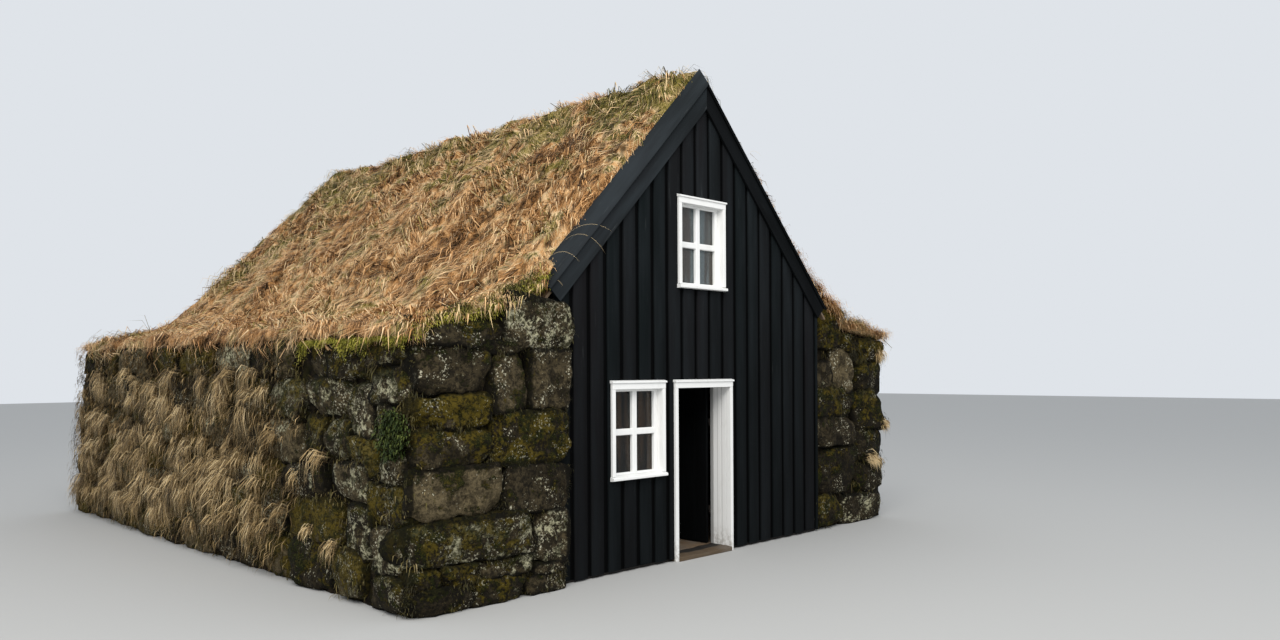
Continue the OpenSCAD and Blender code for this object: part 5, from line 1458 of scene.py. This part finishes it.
# Ferns at the street corner grow inside an ellipse on the left face
rng = np.random.default_rng(881)
y, z = rng.uniform(-4.24, -3.84, 1500), rng.uniform(1.18, 1.58, 1500)
inBush = (y + 4.04) ** 2 / 0.040 + (z - 1.38) ** 2 / 0.036 < 1
y, z = y[inBush], z[inBush]
roots = np.stack([leftFace(z) - 0.03 + 0.03 * rng.uniform(-1, 1, len(y)), y, z], -1)
grassPiece("ferns", [hangingGrass(roots, (-1.0, -0.3, 0.6), 882, 0.055, 0.016, 0.9, 0.8,
                                  rng.uniform(0.0, 1.0, len(roots)))], leaf)

# Long dry stalks that bend across the left verge board, and a few at the right one: each is a curve with
# two ends and two points that pull it
stalks = np.array([[(-1.86, -4.11, 3.00), (-1.80, -4.22, 3.17), (-1.58, -4.25, 3.24), (-1.36, -4.25, 3.14)],
                   [(-1.86, -4.11, 2.98), (-1.79, -4.22, 3.14), (-1.60, -4.26, 3.12), (-1.44, -4.26, 2.92)],
                   [(-2.05, -4.11, 2.82), (-1.99, -4.22, 2.94), (-1.88, -4.26, 2.94), (-1.76, -4.26, 2.83)],
                   [(-2.12, -4.11, 2.62), (-2.07, -4.22, 2.69), (-2.00, -4.25, 2.69), (-1.94, -4.25, 2.60)],
                   [(0.90, -4.05, 4.02), (0.84, -4.02, 4.22), (0.98, -4.02, 4.38), (1.20, -4.02, 4.24)],
                   [(0.90, -4.05, 4.02), (0.90, -4.02, 4.12), (0.94, -4.02, 4.20), (1.02, -4.02, 4.26)],
                   [(0.90, -4.05, 4.02), (0.96, -4.02, 4.08), (1.04, -4.02, 4.10), (1.12, -4.02, 4.08)]])
t = np.linspace(0, 1, 9)[:, None]
curve = sum(c * stalks[:, None, k] * t ** k * (1 - t) ** (3 - k) for k, c in enumerate((1, 3, 3, 1)))
wide = 0.0007 * np.array([0.3, 0.0, 1.0])
strips = np.stack([curve[:, :-1] - wide, curve[:, :-1] + wide], 2).reshape(len(stalks), -1, 3)
strips = np.concatenate([strips, curve[:, -1:]], 1)
grassPiece("stalks", [(strips, np.full(len(stalks), 0.98))], hair)

# Floor, light and camera
stage = dict(floorSize=120.0, viewAngle=44.78, place=(-7.349, -10.545, 1.87), lens=26.86, sensor=36.0,
             shift=0.0398, roll=0.005, lampPlace=(-10, -13, 13), lampAim=(0, 0, 1.5), lampSize=(14, 10),
             lampPower=2600, lampColour=(1.0, 0.97, 0.92), skyColour=(0.87, 0.91, 0.96), skyStrength=0.85)
bpy.ops.mesh.primitive_plane_add(size=stage["floorSize"], location=(0, 0, 0))
floor = bpy.context.object
floor.name = "floor"
floor.data.materials.append(Finish("paleFloor").surface((0.46, 0.46, 0.45), 0.9))

world = bpy.data.worlds.new("softSky")
bpy.context.scene.world = world
world.use_nodes = True
sky = world.node_tree.nodes["Background"]
sky.inputs["Color"].default_value = (*stage["skyColour"], 1)
sky.inputs["Strength"].default_value = stage["skyStrength"]
lamp = bpy.data.lights.new("softBox", "AREA")
lamp.shape, lamp.energy, lamp.color = "RECTANGLE", stage["lampPower"], stage["lampColour"]
lamp.size, lamp.size_y = stage["lampSize"]
lampObject = bpy.data.objects.new("softBox", lamp)
bpy.context.scene.collection.objects.link(lampObject)
lampPlace = Vector(stage["lampPlace"])
aim = (Vector(stage["lampAim"]) - lampPlace).to_track_quat("-Z", "Y")
lampObject.matrix_world = Matrix.Translation(lampPlace) @ aim.to_matrix().to_4x4()

# The camera looks level along the view angle. The photograph's small roll tilts its right and its top
turnAngle, roll = math.radians(stage["viewAngle"]), -stage["roll"]
forward = Vector((math.cos(turnAngle), math.sin(turnAngle), 0))
level, up = Vector((math.sin(turnAngle), -math.cos(turnAngle), 0)), Vector((0, 0, 1))
right = level * math.cos(roll) + up * math.sin(roll)
top = up * math.cos(roll) - level * math.sin(roll)
camera = bpy.data.cameras.new("camera")
camera.lens, camera.sensor_width, camera.shift_y = stage["lens"], stage["sensor"], stage["shift"]
cameraObject = bpy.data.objects.new("camera", camera)
bpy.context.scene.collection.objects.link(cameraObject)
cameraObject.matrix_world = Matrix.Translation(Vector(stage["place"])) @ Matrix(
    (right, top, -forward)).transposed().to_4x4()
bpy.context.scene.camera = cameraObject
bpy.context.scene.view_settings.view_transform = "Standard"
print("stage set")
